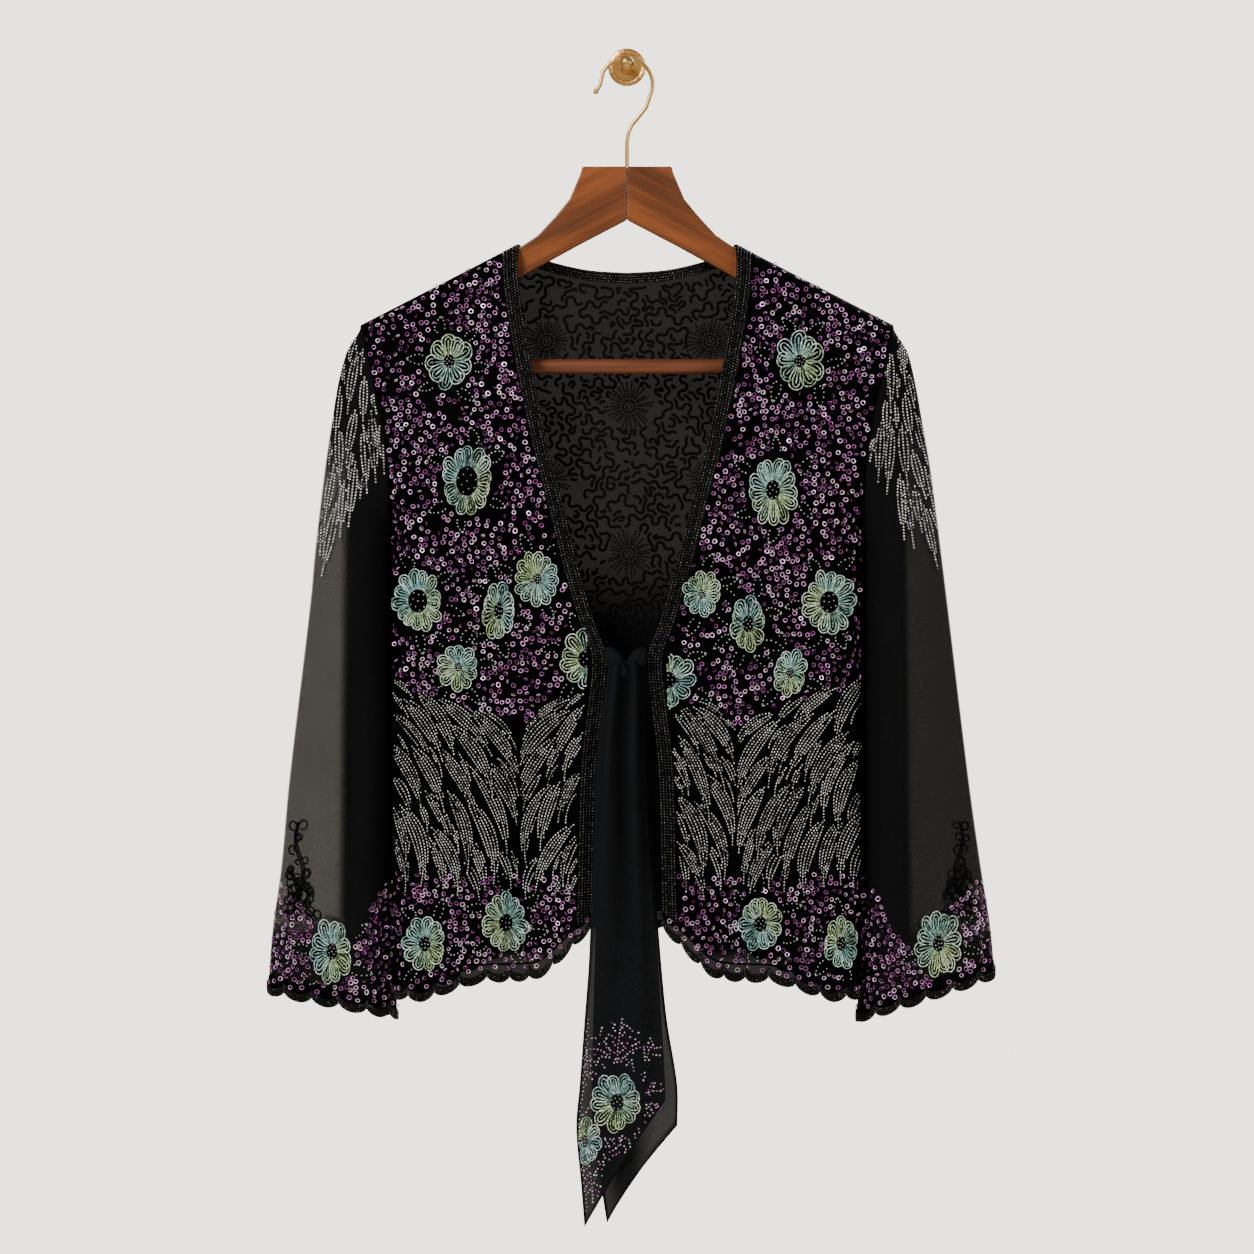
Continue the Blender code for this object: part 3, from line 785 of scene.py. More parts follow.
class ShaderTree:
    """A material's node tree, built by calls."""

    def __init__(self, name: str):
        self.material = bpy.data.materials.new(name)
        self.material.use_nodes = True
        self.nodes = self.material.node_tree.nodes
        self.links = self.material.node_tree.links
        self.shader = self.nodes["Principled BSDF"]

    def node(self, kind: str, settings: dict, values: dict, output: int | str = 0) -> Socket:
        """Adds a node.

        Args:
            kind: its type.
            settings: its properties.
            values: its inputs by number or name, each a socket or a constant.
            output: which output to return.

        Returns:
            That output.
        """
        made = self.nodes.new(kind)
        for key, value in settings.items():
            setattr(made, key, value)
        for key, value in values.items():
            if isinstance(value, Socket):
                self.links.new(value.output, made.inputs[key])
            else:
                made.inputs[key].default_value = value
        return Socket(self, made.outputs[output])

    def attribute(self, name: str) -> Socket:
        """A number stored on the mesh."""
        return self.node("ShaderNodeAttribute", {"attribute_name": name}, {}, "Fac")

    def place(self) -> Socket:
        """The point in the object's own coordinates."""
        return self.node("ShaderNodeTexCoord", {}, {}, "Object")

    def scaled(self, by: Triple, turn: Triple = (0.0, 0.0, 0.0)) -> Socket:
        """The point, turned and then stretched."""
        turned = self.node("ShaderNodeMapping", {}, {0: self.place(), 2: turn})
        return self.node("ShaderNodeMapping", {}, {0: turned, 3: by})

    def noise(self, vector: Socket, scale: float, detail: float = 2.0) -> Socket:
        """Soft noise from 0 to 1."""
        values = {"Vector": vector, "Scale": scale, "Detail": detail}
        return self.node("ShaderNodeTexNoise", {}, values, "Fac")

    def mixed(self, share: Socket, first: Socket | tuple, second: Socket | tuple) -> Socket:
        """A mix of two colours."""
        settings = {"data_type": "RGBA"}
        values = {0: share, 6: first, 7: second}
        return self.node("ShaderNodeMix", settings, values, 2)

    def bump(self, height: Socket, strength: float, distance: float) -> Socket:
        """A normal that follows a height."""
        values = {"Strength": strength, "Distance": distance, "Height": height}
        return self.node("ShaderNodeBump", {}, values)

    def put(self, **inputs) -> None:
        """Sets the shader's inputs, by name with spaces as underscores."""
        for key, value in inputs.items():
            target = self.shader.inputs[key.replace("_", " ")]
            if isinstance(value, Socket):
                self.links.new(value.output, target)
            else:
                target.default_value = value


def ink(red: float, green: float, blue: float) -> tuple[float, float, float, float]:
    """A display colour of 0 to 255 as the shader's own numbers.

    Args:
        red: the red part.
        green: the green part.
        blue: the blue part.

    Returns:
        The colour, with an alpha of 1.
    """
    def line(value: float) -> float:
        value = value / 255.0
        return value / 12.92 if value <= 0.04045 else ((value + 0.055) / 1.055) ** 2.4

    return line(red), line(green), line(blue), 1.0


# Finishes


@dataclass(frozen=True)
class SheerFinish:
    """Sheer black cloth; the mesh's own shade says how dense it is at each point."""

    name: str
    colour: tuple = ink(8, 8, 9)
    thin: float = 0.605
    dense: float = 0.99
    weave: float = 900.0
    gloss: float = 0.05

    def material(self) -> bpy.types.Material:
        """Builds the material."""
        tree = ShaderTree(self.name)
        where = tree.place()
        grain = tree.noise(where, self.weave, 3.0)
        broad = tree.noise(where, 38.0, 2.0)
        dense = tree.attribute("shade").clamped()
        alpha = dense * (self.dense - self.thin) + self.thin
        open_weave = (grain - 0.5) * 0.10 * (1.0 - dense)
        alpha = (alpha + open_weave + (broad - 0.5) * 0.03 * (1.0 - dense)).clamped()
        colour = tree.mixed(broad, self.colour, tuple(c * 1.6 for c in self.colour[:3]) + (1.0,))
        # Darkens the colour towards black where painted shade lies in a fold's hollow.
        colour = tree.mixed(tree.attribute("painted_fold_shade").clamped(), colour, ink(2, 2, 2))
        tree.put(Base_Color=colour, Alpha=alpha, Roughness=0.75, Specular_IOR_Level=self.gloss)
        tree.put(Normal=tree.bump(grain, 0.3, 0.0003))
        return tree.material


@dataclass(frozen=True)
class BeadFinish:
    """Glass beads: the tint runs from one colour to another, and the shade from dull to bright; on the black
    and silver beads and the sequins, the pale second colour and the bright end are painted highlights, and
    the dull end is painted shade.
    """

    name: str
    first: tuple
    second: tuple
    roughness: float = 0.25
    metallic: float = 0.0
    dull: float = 0.3
    coat: float = 0.6
    gloss: float = 0.5

    def material(self) -> bpy.types.Material:
        """Builds the material."""
        tree = ShaderTree(self.name)
        colour = tree.mixed(tree.attribute("tint").clamped(), self.first, self.second)
        shade = tree.attribute("shade").clamped()
        dim = tuple(c * self.dull for c in self.first[:3]) + (1.0,)
        tree.put(Base_Color=tree.mixed(shade, dim, colour), Roughness=self.roughness)
        tree.put(Metallic=self.metallic, Coat_Weight=self.coat, Coat_Roughness=0.12)
        tree.put(Specular_IOR_Level=self.gloss)
        return tree.material


@dataclass(frozen=True)
class ThreadFinish:
    """Shiny pale mint thread with fine stitches along it; its whitish colour is a painted highlight, and its
    deep colour painted shade in the gaps between stitches.
    """

    name: str
    cool: tuple = ink(118, 174, 172)
    warm: tuple = ink(162, 188, 120)
    pale: tuple = ink(238, 248, 236)
    deep: tuple = ink(14, 26, 22)

    def material(self) -> bpy.types.Material:
        """Builds the material."""
        tree = ShaderTree(self.name)
        where = tree.place()
        stitch = tree.noise(where, 1300.0, 1.0)
        broad = tree.noise(where, 170.0, 2.0)
        base = tree.mixed(tree.attribute("tint").clamped(), self.cool, self.warm)
        # Painted light: the stitch noise and the shade give pale highlights and deep shade in the gaps.
        light = (tree.attribute("shade") * 0.9 + (stitch - 0.5) * 1.5 + (broad - 0.5) * 0.5).clamped()
        dark = tree.mixed(light.stretched(0.05, 0.5), self.deep, base)
        tree.put(Base_Color=tree.mixed(light.stretched(0.55, 1.0), dark, self.pale))
        tree.put(Roughness=0.4, Coat_Weight=0.25, Coat_Roughness=0.25)
        tree.put(Normal=tree.bump(stitch, 0.4, 0.0005))
        return tree.material


@dataclass(frozen=True)
class CordFinish:
    """Black cord or cloth covered with it."""

    name: str
    colour: tuple = ink(2, 2, 3)

    def material(self) -> bpy.types.Material:
        """Builds the material."""
        tree = ShaderTree(self.name)
        twist = tree.noise(tree.place(), 1100.0, 2.0)
        tree.put(Base_Color=tree.mixed(twist, self.colour, ink(8, 8, 9)), Roughness=0.75)
        tree.put(Specular_IOR_Level=0.05, Normal=tree.bump(twist, 0.6, 0.0006))
        return tree.material


@dataclass(frozen=True)
class WoodFinish:
    """Satin walnut, with the grain along a piece that slopes."""

    name: str
    slope: float
    pale: tuple = ink(146, 78, 32)
    dark: tuple = ink(60, 28, 9)

    def material(self) -> bpy.types.Material:
        """Builds the material."""
        tree = ShaderTree(self.name)
        along = tree.scaled((7.0, 60.0, 85.0), (0.0, self.slope, 0.0))
        rings = tree.noise(along, 1.0, 5.0)
        fine = tree.noise(tree.scaled((16.0, 280.0, 330.0), (0.0, self.slope, 0.0)), 1.0, 3.0)
        broad = tree.noise(tree.scaled((5.0, 20.0, 26.0), (0.0, self.slope, 0.0)), 1.0, 2.0)
        share = rings.stretched(0.32, 0.68) * 0.6 + fine * 0.5 + broad.stretched(0.3, 0.7) * 0.3 - 0.2
        tree.put(Base_Color=tree.mixed(share.clamped(), self.dark, self.pale))
        tree.put(Roughness=fine * 0.15 + 0.38, Coat_Weight=0.05, Specular_IOR_Level=0.3)
        tree.put(Normal=tree.bump(fine, 0.12, 0.0004))
        return tree.material


@dataclass(frozen=True)
class BrassFinish:
    """Satin brass, a little uneven."""

    name: str
    colour: tuple = ink(222, 176, 104)

    def material(self) -> bpy.types.Material:
        """Builds the material."""
        tree = ShaderTree(self.name)
        cloud = tree.noise(tree.place(), 90.0, 2.0)
        tree.put(Base_Color=tree.mixed(cloud, ink(200, 150, 84), self.colour), Metallic=0.9)
        tree.put(Roughness=cloud * 0.06 + 0.30)
        return tree.material


class Finishes:
    """Every material, made once."""

    def __init__(self) -> None:
        self.sheer = SheerFinish("sheer_chiffon").material()
        self.tie = SheerFinish("tie_chiffon", ink(13, 14, 16), thin=0.86).material()
        self.net = SheerFinish("black_net", ink(1, 1, 2), 0.72, 1.0, 1400.0, 0.02).material()
        self.back_net = SheerFinish("back_net", ink(6, 6, 7), 0.86, 1.0, 1400.0).material()
        self.cord = CordFinish("black_cord").material()
        # Painted light in these colours: the black beads' grey second colour is a painted glint, the silver
        # beads' whiter second colour a painted highlight and their near-black dull end painted shade, and the
        # sequins' pale pink second colour a painted highlight and their dark dull end painted shade.
        black, silver = (ink(4, 4, 5), ink(170, 168, 164)), (ink(186, 184, 176), ink(250, 250, 246))
        white, purple = (ink(150, 156, 152), ink(246, 248, 244)), (ink(180, 52, 166), ink(255, 222, 248))
        self.black_bead = BeadFinish("black_bead", *black, 0.2, 0.1, 0.4, 0.05, 0.2).material()
        self.silver_bead = BeadFinish("silver_bead", *silver, 0.22, 0.35, 0.05).material()
        self.white_dot = BeadFinish("white_dot", *white, 0.3, 0.0, 0.3).material()
        self.purple_sequin = BeadFinish("purple_sequin", *purple, 0.2, 0.4, 0.10).material()
        self.thread = ThreadFinish("mint_thread").material()
        self.wood_left = WoodFinish("walnut_left", math.radians(27)).material()
        self.wood_right = WoodFinish("walnut_right", math.radians(-27)).material()
        self.wood_bar = WoodFinish("walnut_bar", 0.0, ink(120, 66, 38), ink(70, 34, 20)).material()
        self.brass = BrassFinish("satin_brass").material()


def shaded(piece: bpy.types.Object, dense: Callable[[Array, Array, Array], Array],
           name: str = "shade") -> None:
    """Stores how dense a cloth is at each of its points.

    Args:
        piece: the cloth.
        dense: called with the points' X, Y and Z arrays; gives 0 for sheer to 1 for dense.
        name: the attribute: "shade", or the one for painted shade that darkens a fold's hollow.
    """
    x, y, z = points_of(piece).T
    layer = piece.data.attributes.new(name, "FLOAT", "POINT")
    layer.data.foreach_set("value", np.asarray(dense(x, y, z), np.float32))


# What is sewn on

SEQUIN = (0.64, 0.22)
BAND_BEAD = (0.00064, 0.00056, 0.0008)
BAND_PITCH = 0.00225
LEAF_KINDS = ((0.068, 0.0125, 0.86), (0.052, 0.0106, 0.80), (0.038, 0.0084, 0.76), (0.027, 0.0062, 0.76))
LEAF_GAP = 0.0020


@dataclass(frozen=True)
class Bloom:
    """A thread flower: its place and size in the picture, and how it is made."""

    x: float
    z: float
    width: float
    height: float
    petals: int
    heart: float
    warm: float = -0.8
    limit: float | None = None


class PlaneGrid:
    """A fine grid over the picture's plane."""

    CELL = 0.0004
    HALF_WIDTH = 0.32
    SHAPE = (1600, 2500)
    RIM = 12

    def cells(self, x: Value, z: Value) -> tuple[Array, Array]:
        """The grid's cells at places."""
        i = np.rint((np.asarray(x, float) + self.HALF_WIDTH) / self.CELL).astype(int)
        k = np.rint(-np.asarray(z, float) / self.CELL).astype(int)
        last = [count - self.RIM - 1 for count in self.SHAPE]
        return np.clip(i, self.RIM, last[0]), np.clip(k, self.RIM, last[1])

    def places(self) -> tuple[Array, Array]:
        """The X of each column as a column, and the Z of each row as a row."""
        x = np.arange(self.SHAPE[0]) * self.CELL - self.HALF_WIDTH
        return x[:, None], -(np.arange(self.SHAPE[1]) * self.CELL)[None]


class Zone(PlaneGrid):
    """A region where something may lie."""

    def __init__(self, holds: Holds):
        self.mask = np.broadcast_to(holds(*self.places()), self.SHAPE)

    def __call__(self, x: Value, z: Value) -> Array:
        """Whether places are in it."""
        return self.mask[self.cells(x, z)]


class Taken(PlaneGrid):
    """Which places are still free."""

    def __init__(self) -> None:
        self.full = np.zeros(self.SHAPE, bool)

    def mark(self, x: Value, z: Value, reach: float) -> None:
        """Fills a disc round each place."""
        r = int(round(reach / self.CELL))
        a, b = np.mgrid[-r:r + 1, -r:r + 1]
        disc = a * a + b * b <= r * r
        for i, k in zip(*self.cells(np.atleast_1d(x), np.atleast_1d(z))):
            self.full[i - r:i + r + 1, k - r:k + r + 1] |= disc

    def oval(self, x: float, z: float, half_width: float, half_height: float) -> None:
        """Fills an oval."""
        a, b = self.places()
        self.full |= ((a - x) / half_width) ** 2 + ((b - z) / half_height) ** 2 < 1.0

    def free(self, x: Value, z: Value) -> Array:
        """Whether places are still free."""
        return ~self.full[self.cells(x, z)]


def sequin_sizes(rng: np.random.Generator, count: int) -> Array:
    """Half the length, width and height of sequins that are a little oval."""
    return rng.uniform(0.00170, 0.00208, count)[:, None] * np.array([1.08, 0.92, 1.0])


class Needle:
    """Sews motifs onto one cloth and gathers them by finish."""

    SEED_LONG = 0.0024
    SEED_ROW = 0.0026
    SEED_APART = 0.00175
    THREAD = 0.00042

    def __init__(self, name: str, cloth: Surface, seed: int):
        self.name = name
        self.cloth = cloth
        self.random = np.random.default_rng(seed)
        self.seed_half = 0.00060
        self.seed_solid = bead_shape()
        self.taken = Taken()
        self.sequins = Pile(f"{name}_sequins")
        self.silver = Pile(f"{name}_silver_beads")
        self.black = Pile(f"{name}_black_beads")
        self.dots = Pile(f"{name}_white_dots")
        self.thread = Pile(f"{name}_flowers")
        self.cord = Pile(f"{name}_cording")

    def beads(self, pile: Pile, x: Array, z: Array, heading: Array, size: Triple,
              tint: Value, shade: Value) -> None:
        """Lays beads on the cloth.

        Args:
            pile: where they are gathered.
            x: where.
            z: where.
            heading: the way each lies.
            size: half its size along, across and up.
            tint: its tint.
            shade: its shade.
        """
        if len(x):
            spots = self.cloth.frames(x, z, heading).lifted(np.full(len(x), size[2] * 0.75))
            pile.copies(self.seed_solid, spots, size, tint, shade)

    def flower(self, bloom: Bloom, allowed: Holds | None = None) -> None:
        """Sews one flower: looped petals, filled with lines of thread, round a dark heart.

        Args:
            bloom: the flower.
            allowed: called with X and Z arrays; says where thread may lie.
        """
        rng = self.random
        offset = rng.uniform(0, 2 * math.pi)
        stitches = []
        for k in range(bloom.petals):
            angle = offset + 2 * math.pi * (k + rng.uniform(-0.13, 0.13)) / bloom.petals
            warm = 0.5 + 0.5 * math.cos(angle - bloom.warm)
            tint = float(np.clip(warm**1.4 + rng.uniform(-0.18, 0.18), 0, 1))
            long = rng.uniform(0.86, 1.06) - bloom.heart
            wide = math.pi / bloom.petals * rng.uniform(0.74, 0.88)
            bend = rng.uniform(-0.10, 0.10)
            light = rng.uniform(0.62, 1.0)

            def petal(t: Array, share: Array) -> Array:
                body = 0.36 + 0.64 * np.sin(np.minimum(t / 0.70, 1.0) * math.pi / 2)
                across = share * wide * body + bend * t * t
                along = bloom.heart + long * t
                x = along * math.cos(angle) - across * math.sin(angle)
                z = along * math.sin(angle) + across * math.cos(angle)
                return np.stack([bloom.x + x * bloom.width / 2, bloom.z + z * bloom.height / 2], 1)

            for nest, inset in enumerate((1.0, 0.50, 0.04)):
                u = np.linspace(-1.0, 1.0, 25)
                tip = np.minimum(np.abs(u) / 0.42, 1.0) * math.pi / 2
                t = np.where(np.abs(u) < 0.42, 0.70 + 0.30 * np.cos(tip), 0.70 * (1.0 - np.abs(u)) / 0.58)
                edge = petal(t * (1.0, 0.88, 0.72)[nest], np.sign(u) * np.sin(tip) * inset)
                for first in range(0, 24, 2):
                    stitch = edge[first:first + 3]
                    stitch = stitch[1] + (stitch - stitch[1]) * 0.86
                    # Painted highlight and shade on each stitch: each petal lit at random, darker on the
                    # inner loops and towards the heart.
                    glint = light - 0.14 * nest - 0.30 * (1.0 - t[first + 1]) + rng.uniform(-0.30, 0.34)
                    stitches.append((stitch, tint + rng.uniform(-0.15, 0.15), glint))
        points = np.array([row[0] for row in stitches])
        tints, shades = (np.clip([row[k] for row in stitches], 0, 1) for k in (1, 2))
        kept = np.ones(len(points), bool)
        if bloom.limit is not None:
            kept &= (np.abs(points[:, :, 0]) > bloom.limit).all(1)
        if allowed is not None:
            kept &= allowed(points[:, :, 0], points[:, :, 1]).all(1)
        self.stitches(points[kept], tints[kept], shades[kept])
        ring = 2 * math.pi * np.arange(9) / 9 + offset
        radii = np.where(np.arange(9) % 2 == 0, 0.84, 0.56) * bloom.heart
        hx = np.append(bloom.x + bloom.width / 2 * radii * np.cos(ring), bloom.x)
        hz = np.append(bloom.z + bloom.height / 2 * radii * np.sin(ring), bloom.z)
        kept = np.abs(hx) > (bloom.limit or -1.0)
        if allowed is not None:
            kept &= allowed(hx, hz)
        self.small_dots(hx[kept], hz[kept], 0.00058)
        self.taken.oval(bloom.x, bloom.z, bloom.width * 0.52 + 0.0012, bloom.height * 0.52 + 0.0012)

    def stitches(self, points: Array, tints: Array, shades: Array) -> None:
        """Lays thread along lines of X and Z.

        Args:
            points: the lines, n by m places of X and Z.
            tints: the tint of each.
            shades: the shade of each.
        """
        if not len(points):
            return
        flat = self.cloth.frames(points[:, :, 0].ravel(), points[:, :, 1].ravel())
        shape = points.shape[:2] + (3,)
        lift = self.random.uniform(0.0004, 0.0008, len(points))[:, None, None]
        ups = flat.up.reshape(shape)
        self.thread.ribs(flat.centre.reshape(shape) + ups * lift, ups, self.THREAD, 0.0009, tints, shades)

    def dotted_leaves(self, bloom: Bloom, count: int, allowed: Holds) -> None:
        """Sews leaf outlines of white dots round a flower.

        Args:
            bloom: the flower.
            count: how many to try.
            allowed: called with X and Z arrays; says where cloth is free.
        """
        rng = self.random
        start = rng.uniform(0, 2 * math.pi)
        for k in range(count):
            angle = start + 2 * math.pi * (k + rng.uniform(-0.2, 0.2)) / count
            long, wide = rng.uniform(0.0058, 0.0085), rng.uniform(0.0036, 0.0050)
            cx = bloom.x + (bloom.width / 2 + long + 0.0008) * math.cos(angle)
            cz = bloom.z + (bloom.height / 2 + long + 0.0008) * math.sin(angle)
            if not (allowed(cx, cz) and self.taken.free(cx, cz)):
                continue
            turn = angle + rng.uniform(-0.5, 0.5)
            around = 2 * math.pi * np.arange(13) / 13
            a = long * np.cos(around)
            b = wide * np.sin(around) * (0.75 - 0.35 * np.cos(around))
            px = cx + a * math.cos(turn) - b * math.sin(turn)
            pz = cz + a * math.sin(turn) + b * math.cos(turn)
            ok = allowed(px, pz) & self.taken.free(px, pz)
            self.small_dots(px[ok], pz[ok], 0.00068)
            self.taken.mark(px[ok], pz[ok], 0.0020)
            self.taken.oval(cx, cz, long * 0.8, long * 0.8)

    def small_dots(self, x: Array, z: Array, size: float) -> None:
        """Sews white dots at places."""
        if len(x):
            spots = self.cloth.frames(x, z).lifted(np.full(len(x), size * 0.8))
            shade = self.random.uniform(0.55, 1.0, len(x))
            self.dots.copies(dot_shape(), spots, (size,) * 3, self.random.uniform(0.2, 1.0, len(x)), shade)

    def bead_leaf(self, x: float, z: float, heading: float, long: float, wide: float, curl: float,
                  allowed: Holds, least: float = 0.0, gap: float = 0.0026) -> bool:
        """Sews one pointed leaf, filled with rows of silver beads that meet at its ends.

        Args:
            x: its middle.
            z: its middle.
            heading: the way it points there, in radians from +X.
            long: its length.
            wide: its width.
            curl: how far it turns on the way, in radians.
            allowed: called with X and Z arrays; says where beads may lie.
            least: the share of its beads that must find room.
            gap: how far the beads of the next leaf stay away.

        Returns:
            Whether it was sewn.
        """
        rng = self.random
        count = max(5, int(long / self.SEED_LONG))
        t = (np.arange(count) + 0.5) / count
        bend = heading + curl * (t - 0.5)
        spine_x = np.cumsum(np.cos(bend)) * self.SEED_LONG
        spine_z = np.cumsum(np.sin(bend)) * self.SEED_LONG
        spine_x += x - spine_x[count // 2]
        spine_z += z - spine_z[count // 2]
        rows = max(3, int(round(wide / self.SEED_ROW)) | 1)
        half = (wide - self.SEED_ROW) / 2 * np.sin(math.pi * t**0.78) ** 1.05
        xs, zs, ways = [], [], []
        middle_first = sorted(enumerate(np.linspace(-1.0, 1.0, rows)), key=lambda row: abs(row[1]))
        for number, share in middle_first:
            off = share * half
            ahead = self.SEED_LONG * (0.5 * (number % 2) + rng.uniform(-0.30, 0.30))
            px, pz = spine_x - off * np.sin(bend), spine_z + off * np.cos(bend)
            px, pz = px + ahead * np.cos(bend), pz + ahead * np.sin(bend)
            far = np.ones(len(px), bool)
            if xs:
                have_x, have_z = np.concatenate(xs), np.concatenate(zs)
                far = np.hypot(px[:, None] - have_x, pz[:, None] - have_z).min(1) > self.SEED_APART
            xs.append(px[far])
            zs.append(pz[far])
            ways.append((bend - share * 0.25 * np.cos(math.pi * t))[far])
        px, pz, way = np.concatenate(xs), np.concatenate(zs), np.concatenate(ways)
        ok = allowed(px, pz) & self.taken.free(px, pz)
        if ok.mean() < least or ok.sum() < 5:
            return False
        px, pz, way = px[ok], pz[ok], way[ok]
        self.taken.mark(px, pz, gap)
        # Painted light: each silver bead is lit or shaded at random round a level for the leaf.
        shade = np.clip(rng.uniform(0.50, 1.0) + rng.normal(0, 0.34, len(px)), 0.06, 1.0)
        size = (self.SEED_LONG * 0.40, self.seed_half, 0.00066)
        self.beads(self.silver, px, pz, way, size, rng.uniform(0.2, 1.0, len(px)), shade)
        return True

    def fill_with_leaves(self, box: Box, heading: Way, curl: float, allowed: Holds,
                         kinds: tuple, ends: Holds, gap: float = 0.0026) -> None:
        """Packs leaves into a zone, the long ones first.

        Args:
            box: the least and greatest X, then the least and greatest Z, of the zone.
            heading: called with an X and a Z; gives the way a leaf points there.
            curl: how far a leaf turns on the way, in radians.
            allowed: the zone where beads may lie.
            kinds: rows of tries, length, width and the least share that must find room.
            ends: the zone where a leaf's ends may lie.
            gap: how far leaves stay apart.
        """
        rng = self.random
        for tries, long, wide, least in kinds:
            for _ in range(tries):
                x, z = rng.uniform(box[0], box[1]), rng.uniform(box[2], box[3])
                way = heading(x, z) + rng.normal(0, 0.07)
                length = long * rng.uniform(0.85, 1.15)
                reach = np.array([-0.46, -0.23, 0.0, 0.23, 0.46]) * length
                px, pz = x + reach * math.cos(way), z + reach * math.sin(way)
                room = self.taken.free(px, pz) & allowed(px, pz)
                if room[2] and room.sum() >= 4 and ends(px[[0, 4]], pz[[0, 4]]).all():
                    across, bent = wide * rng.uniform(0.88, 1.1), curl * rng.uniform(0.5, 1.3)
                    self.bead_leaf(x, z, way, length, across, bent, allowed, least, gap)

    def scatter_sequins(self, box: Box, count: int, allowed: Holds, dark: float = 0.0) -> None:
        """Sews sequins in short wandering lines.

        Args:
            box: the least and greatest X, then the least and greatest Z, of the zone.
            count: how many are wanted.
            allowed: called with X and Z arrays; says where one may lie.
            dark: how much duller than usual they are, from 0 to 1.
        """
        rng = self.random
        xs, zs = [], []
        for _ in range(count * 9):
            if len(xs) >= count:
                break
            x, z = rng.uniform(box[0], box[1]), rng.uniform(box[2], box[3])
            way = rng.uniform(0, 2 * math.pi)
            for _ in range(rng.integers(2, 8)):
                if self.taken.free(x, z) and allowed(x, z):
                    self.taken.mark(x, z, 0.0036)
                    xs.append(x)
                    zs.append(z)
                way += rng.normal(0, 0.8)
                step = rng.uniform(0.0038, 0.0064)
                x, z = x + step * math.cos(way), z + step * math.sin(way)
        xs, zs = np.array(xs), np.array(zs)
        n = len(xs)
        if not n:
            return
        spots = self.cloth.frames(xs, zs, rng.uniform(0, 2 * math.pi, n))
        tilt = np.where(rng.uniform(size=n) < 0.26, rng.uniform(0.8, 1.25, n), rng.uniform(0.0, 0.5, n))
        cos, sin = np.cos(tilt)[:, None], np.sin(tilt)[:, None]
        along = spots.along * cos + spots.up * sin
        up = spots.up * cos - spots.along * sin
        tilted = Frames(spots.centre + spots.up * (0.0007 + 0.0012 * sin), along, spots.across, up)
        size = sequin_sizes(rng, n)
        # Painted highlights: about half the sequins are bright and pale pink, as if catching the light, and
        # the rest dim purple, as if turned away from it.
        kind = rng.uniform(size=n)
        bright = np.where(kind < 0.48, rng.uniform(0.8, 1.0, n), rng.uniform(0.16, 0.66, n))
        bright = np.clip(bright - dark * rng.uniform(0.0, 0.7, n), 0.05, 1.0)
        tint = np.where(kind < 0.48, rng.uniform(0.22, 0.95, n), rng.uniform(0.0, 0.30, n))
        self.sequins.copies(ring_shape(*SEQUIN), tilted, size, tint, bright)

    def squiggles(self, box: Box, spacing: float, allowed: Holds) -> None:
        """Sews black cord in meandering lines all over a zone.

        Args:
            box: the least and greatest X, then the least and greatest Z.
            spacing: the distance between the lines' starts.
            allowed: called with an X and a Z; says where cord may lie.
        """
        rng = self.random
        step, lag = 0.0014, 6
        columns, rows = np.arange(box[0], box[1], spacing), np.arange(box[2], box[3], spacing)
        starts = [(x, z) for z in rows for x in columns]
        for index in rng.permutation(len(starts)):
            x, z = (v + rng.uniform(-0.4, 0.4) * spacing for v in starts[index])
            if not (self.taken.free(x, z) and allowed(x, z)):
                continue
            way, sign, left = rng.uniform(0, 2 * math.pi), rng.choice([-1.0, 1.0]), rng.uniform(0.003, 0.007)
            line = [(x, z)]
            for _ in range(46):
                left -= step
                if left < 0:
                    sign, left = -sign, rng.uniform(0.0045, 0.0100)
                turn = sign * step / rng.uniform(0.0024, 0.0042)
                for more in (0.0, 0.35, -0.35, 0.8, -0.8, 1.2, -1.2):
                    ahead = way + turn + more
                    a, b = x + step * math.cos(ahead), z + step * math.sin(ahead)
                    if self.taken.free(a, b) and allowed(a, b):
                        break
                else:
                    break
                way, x, z = ahead, a, b
                line.append((x, z))
                if len(line) > lag:
                    self.taken.mark(*line[-lag - 1], 0.0028)
            whole = np.array(line)
            self.taken.mark(whole[:, 0], whole[:, 1], 0.0034)
            if len(line) >= 5:
                self.corded(whole, 0.00118, 0.0009)

    def corded(self, line: Array, half_width: float, height: float) -> None:
        """Lays cord along a line of X and Z.

        Args:
            line: the line's places.
            half_width: half the cord's width.
            height: how high it stands.
        """
        spots = self.cloth.frames(line[:, 0], line[:, 1])
        middle, ups = spots.centre[None] + spots.up[None] * 0.0004, spots.up[None]
        self.cord.ribs(middle, ups, half_width, height, 0.5, 0.5)

    def burst(self, x: float, z: float, reach: float) -> None:
        """Sews a burst of black beads in rays.

        Args:
            x: its middle.
            z: its middle.
            reach: how far its longest rays go.
        """
        rng = self.random
        xs, zs, ways = [], [], []
        for k in range(30):
            angle = 2 * math.pi * (k + rng.uniform(-0.2, 0.2)) / 30
            for r in np.arange(reach * (0.24 + 0.16 * (k % 2)), reach * rng.uniform(0.68, 1.0), 0.0022):
                xs.append(x + r * math.cos(angle))
                zs.append(z + r * math.sin(angle))
                ways.append(angle)
        for r, n in ((0.10, 5), (0.21, 10)):
            for k in range(n):
                angle = 2 * math.pi * k / n
                xs.append(x + reach * r * math.cos(angle))
                zs.append(z + reach * r * math.sin(angle))
                ways.append(angle + 1.57)
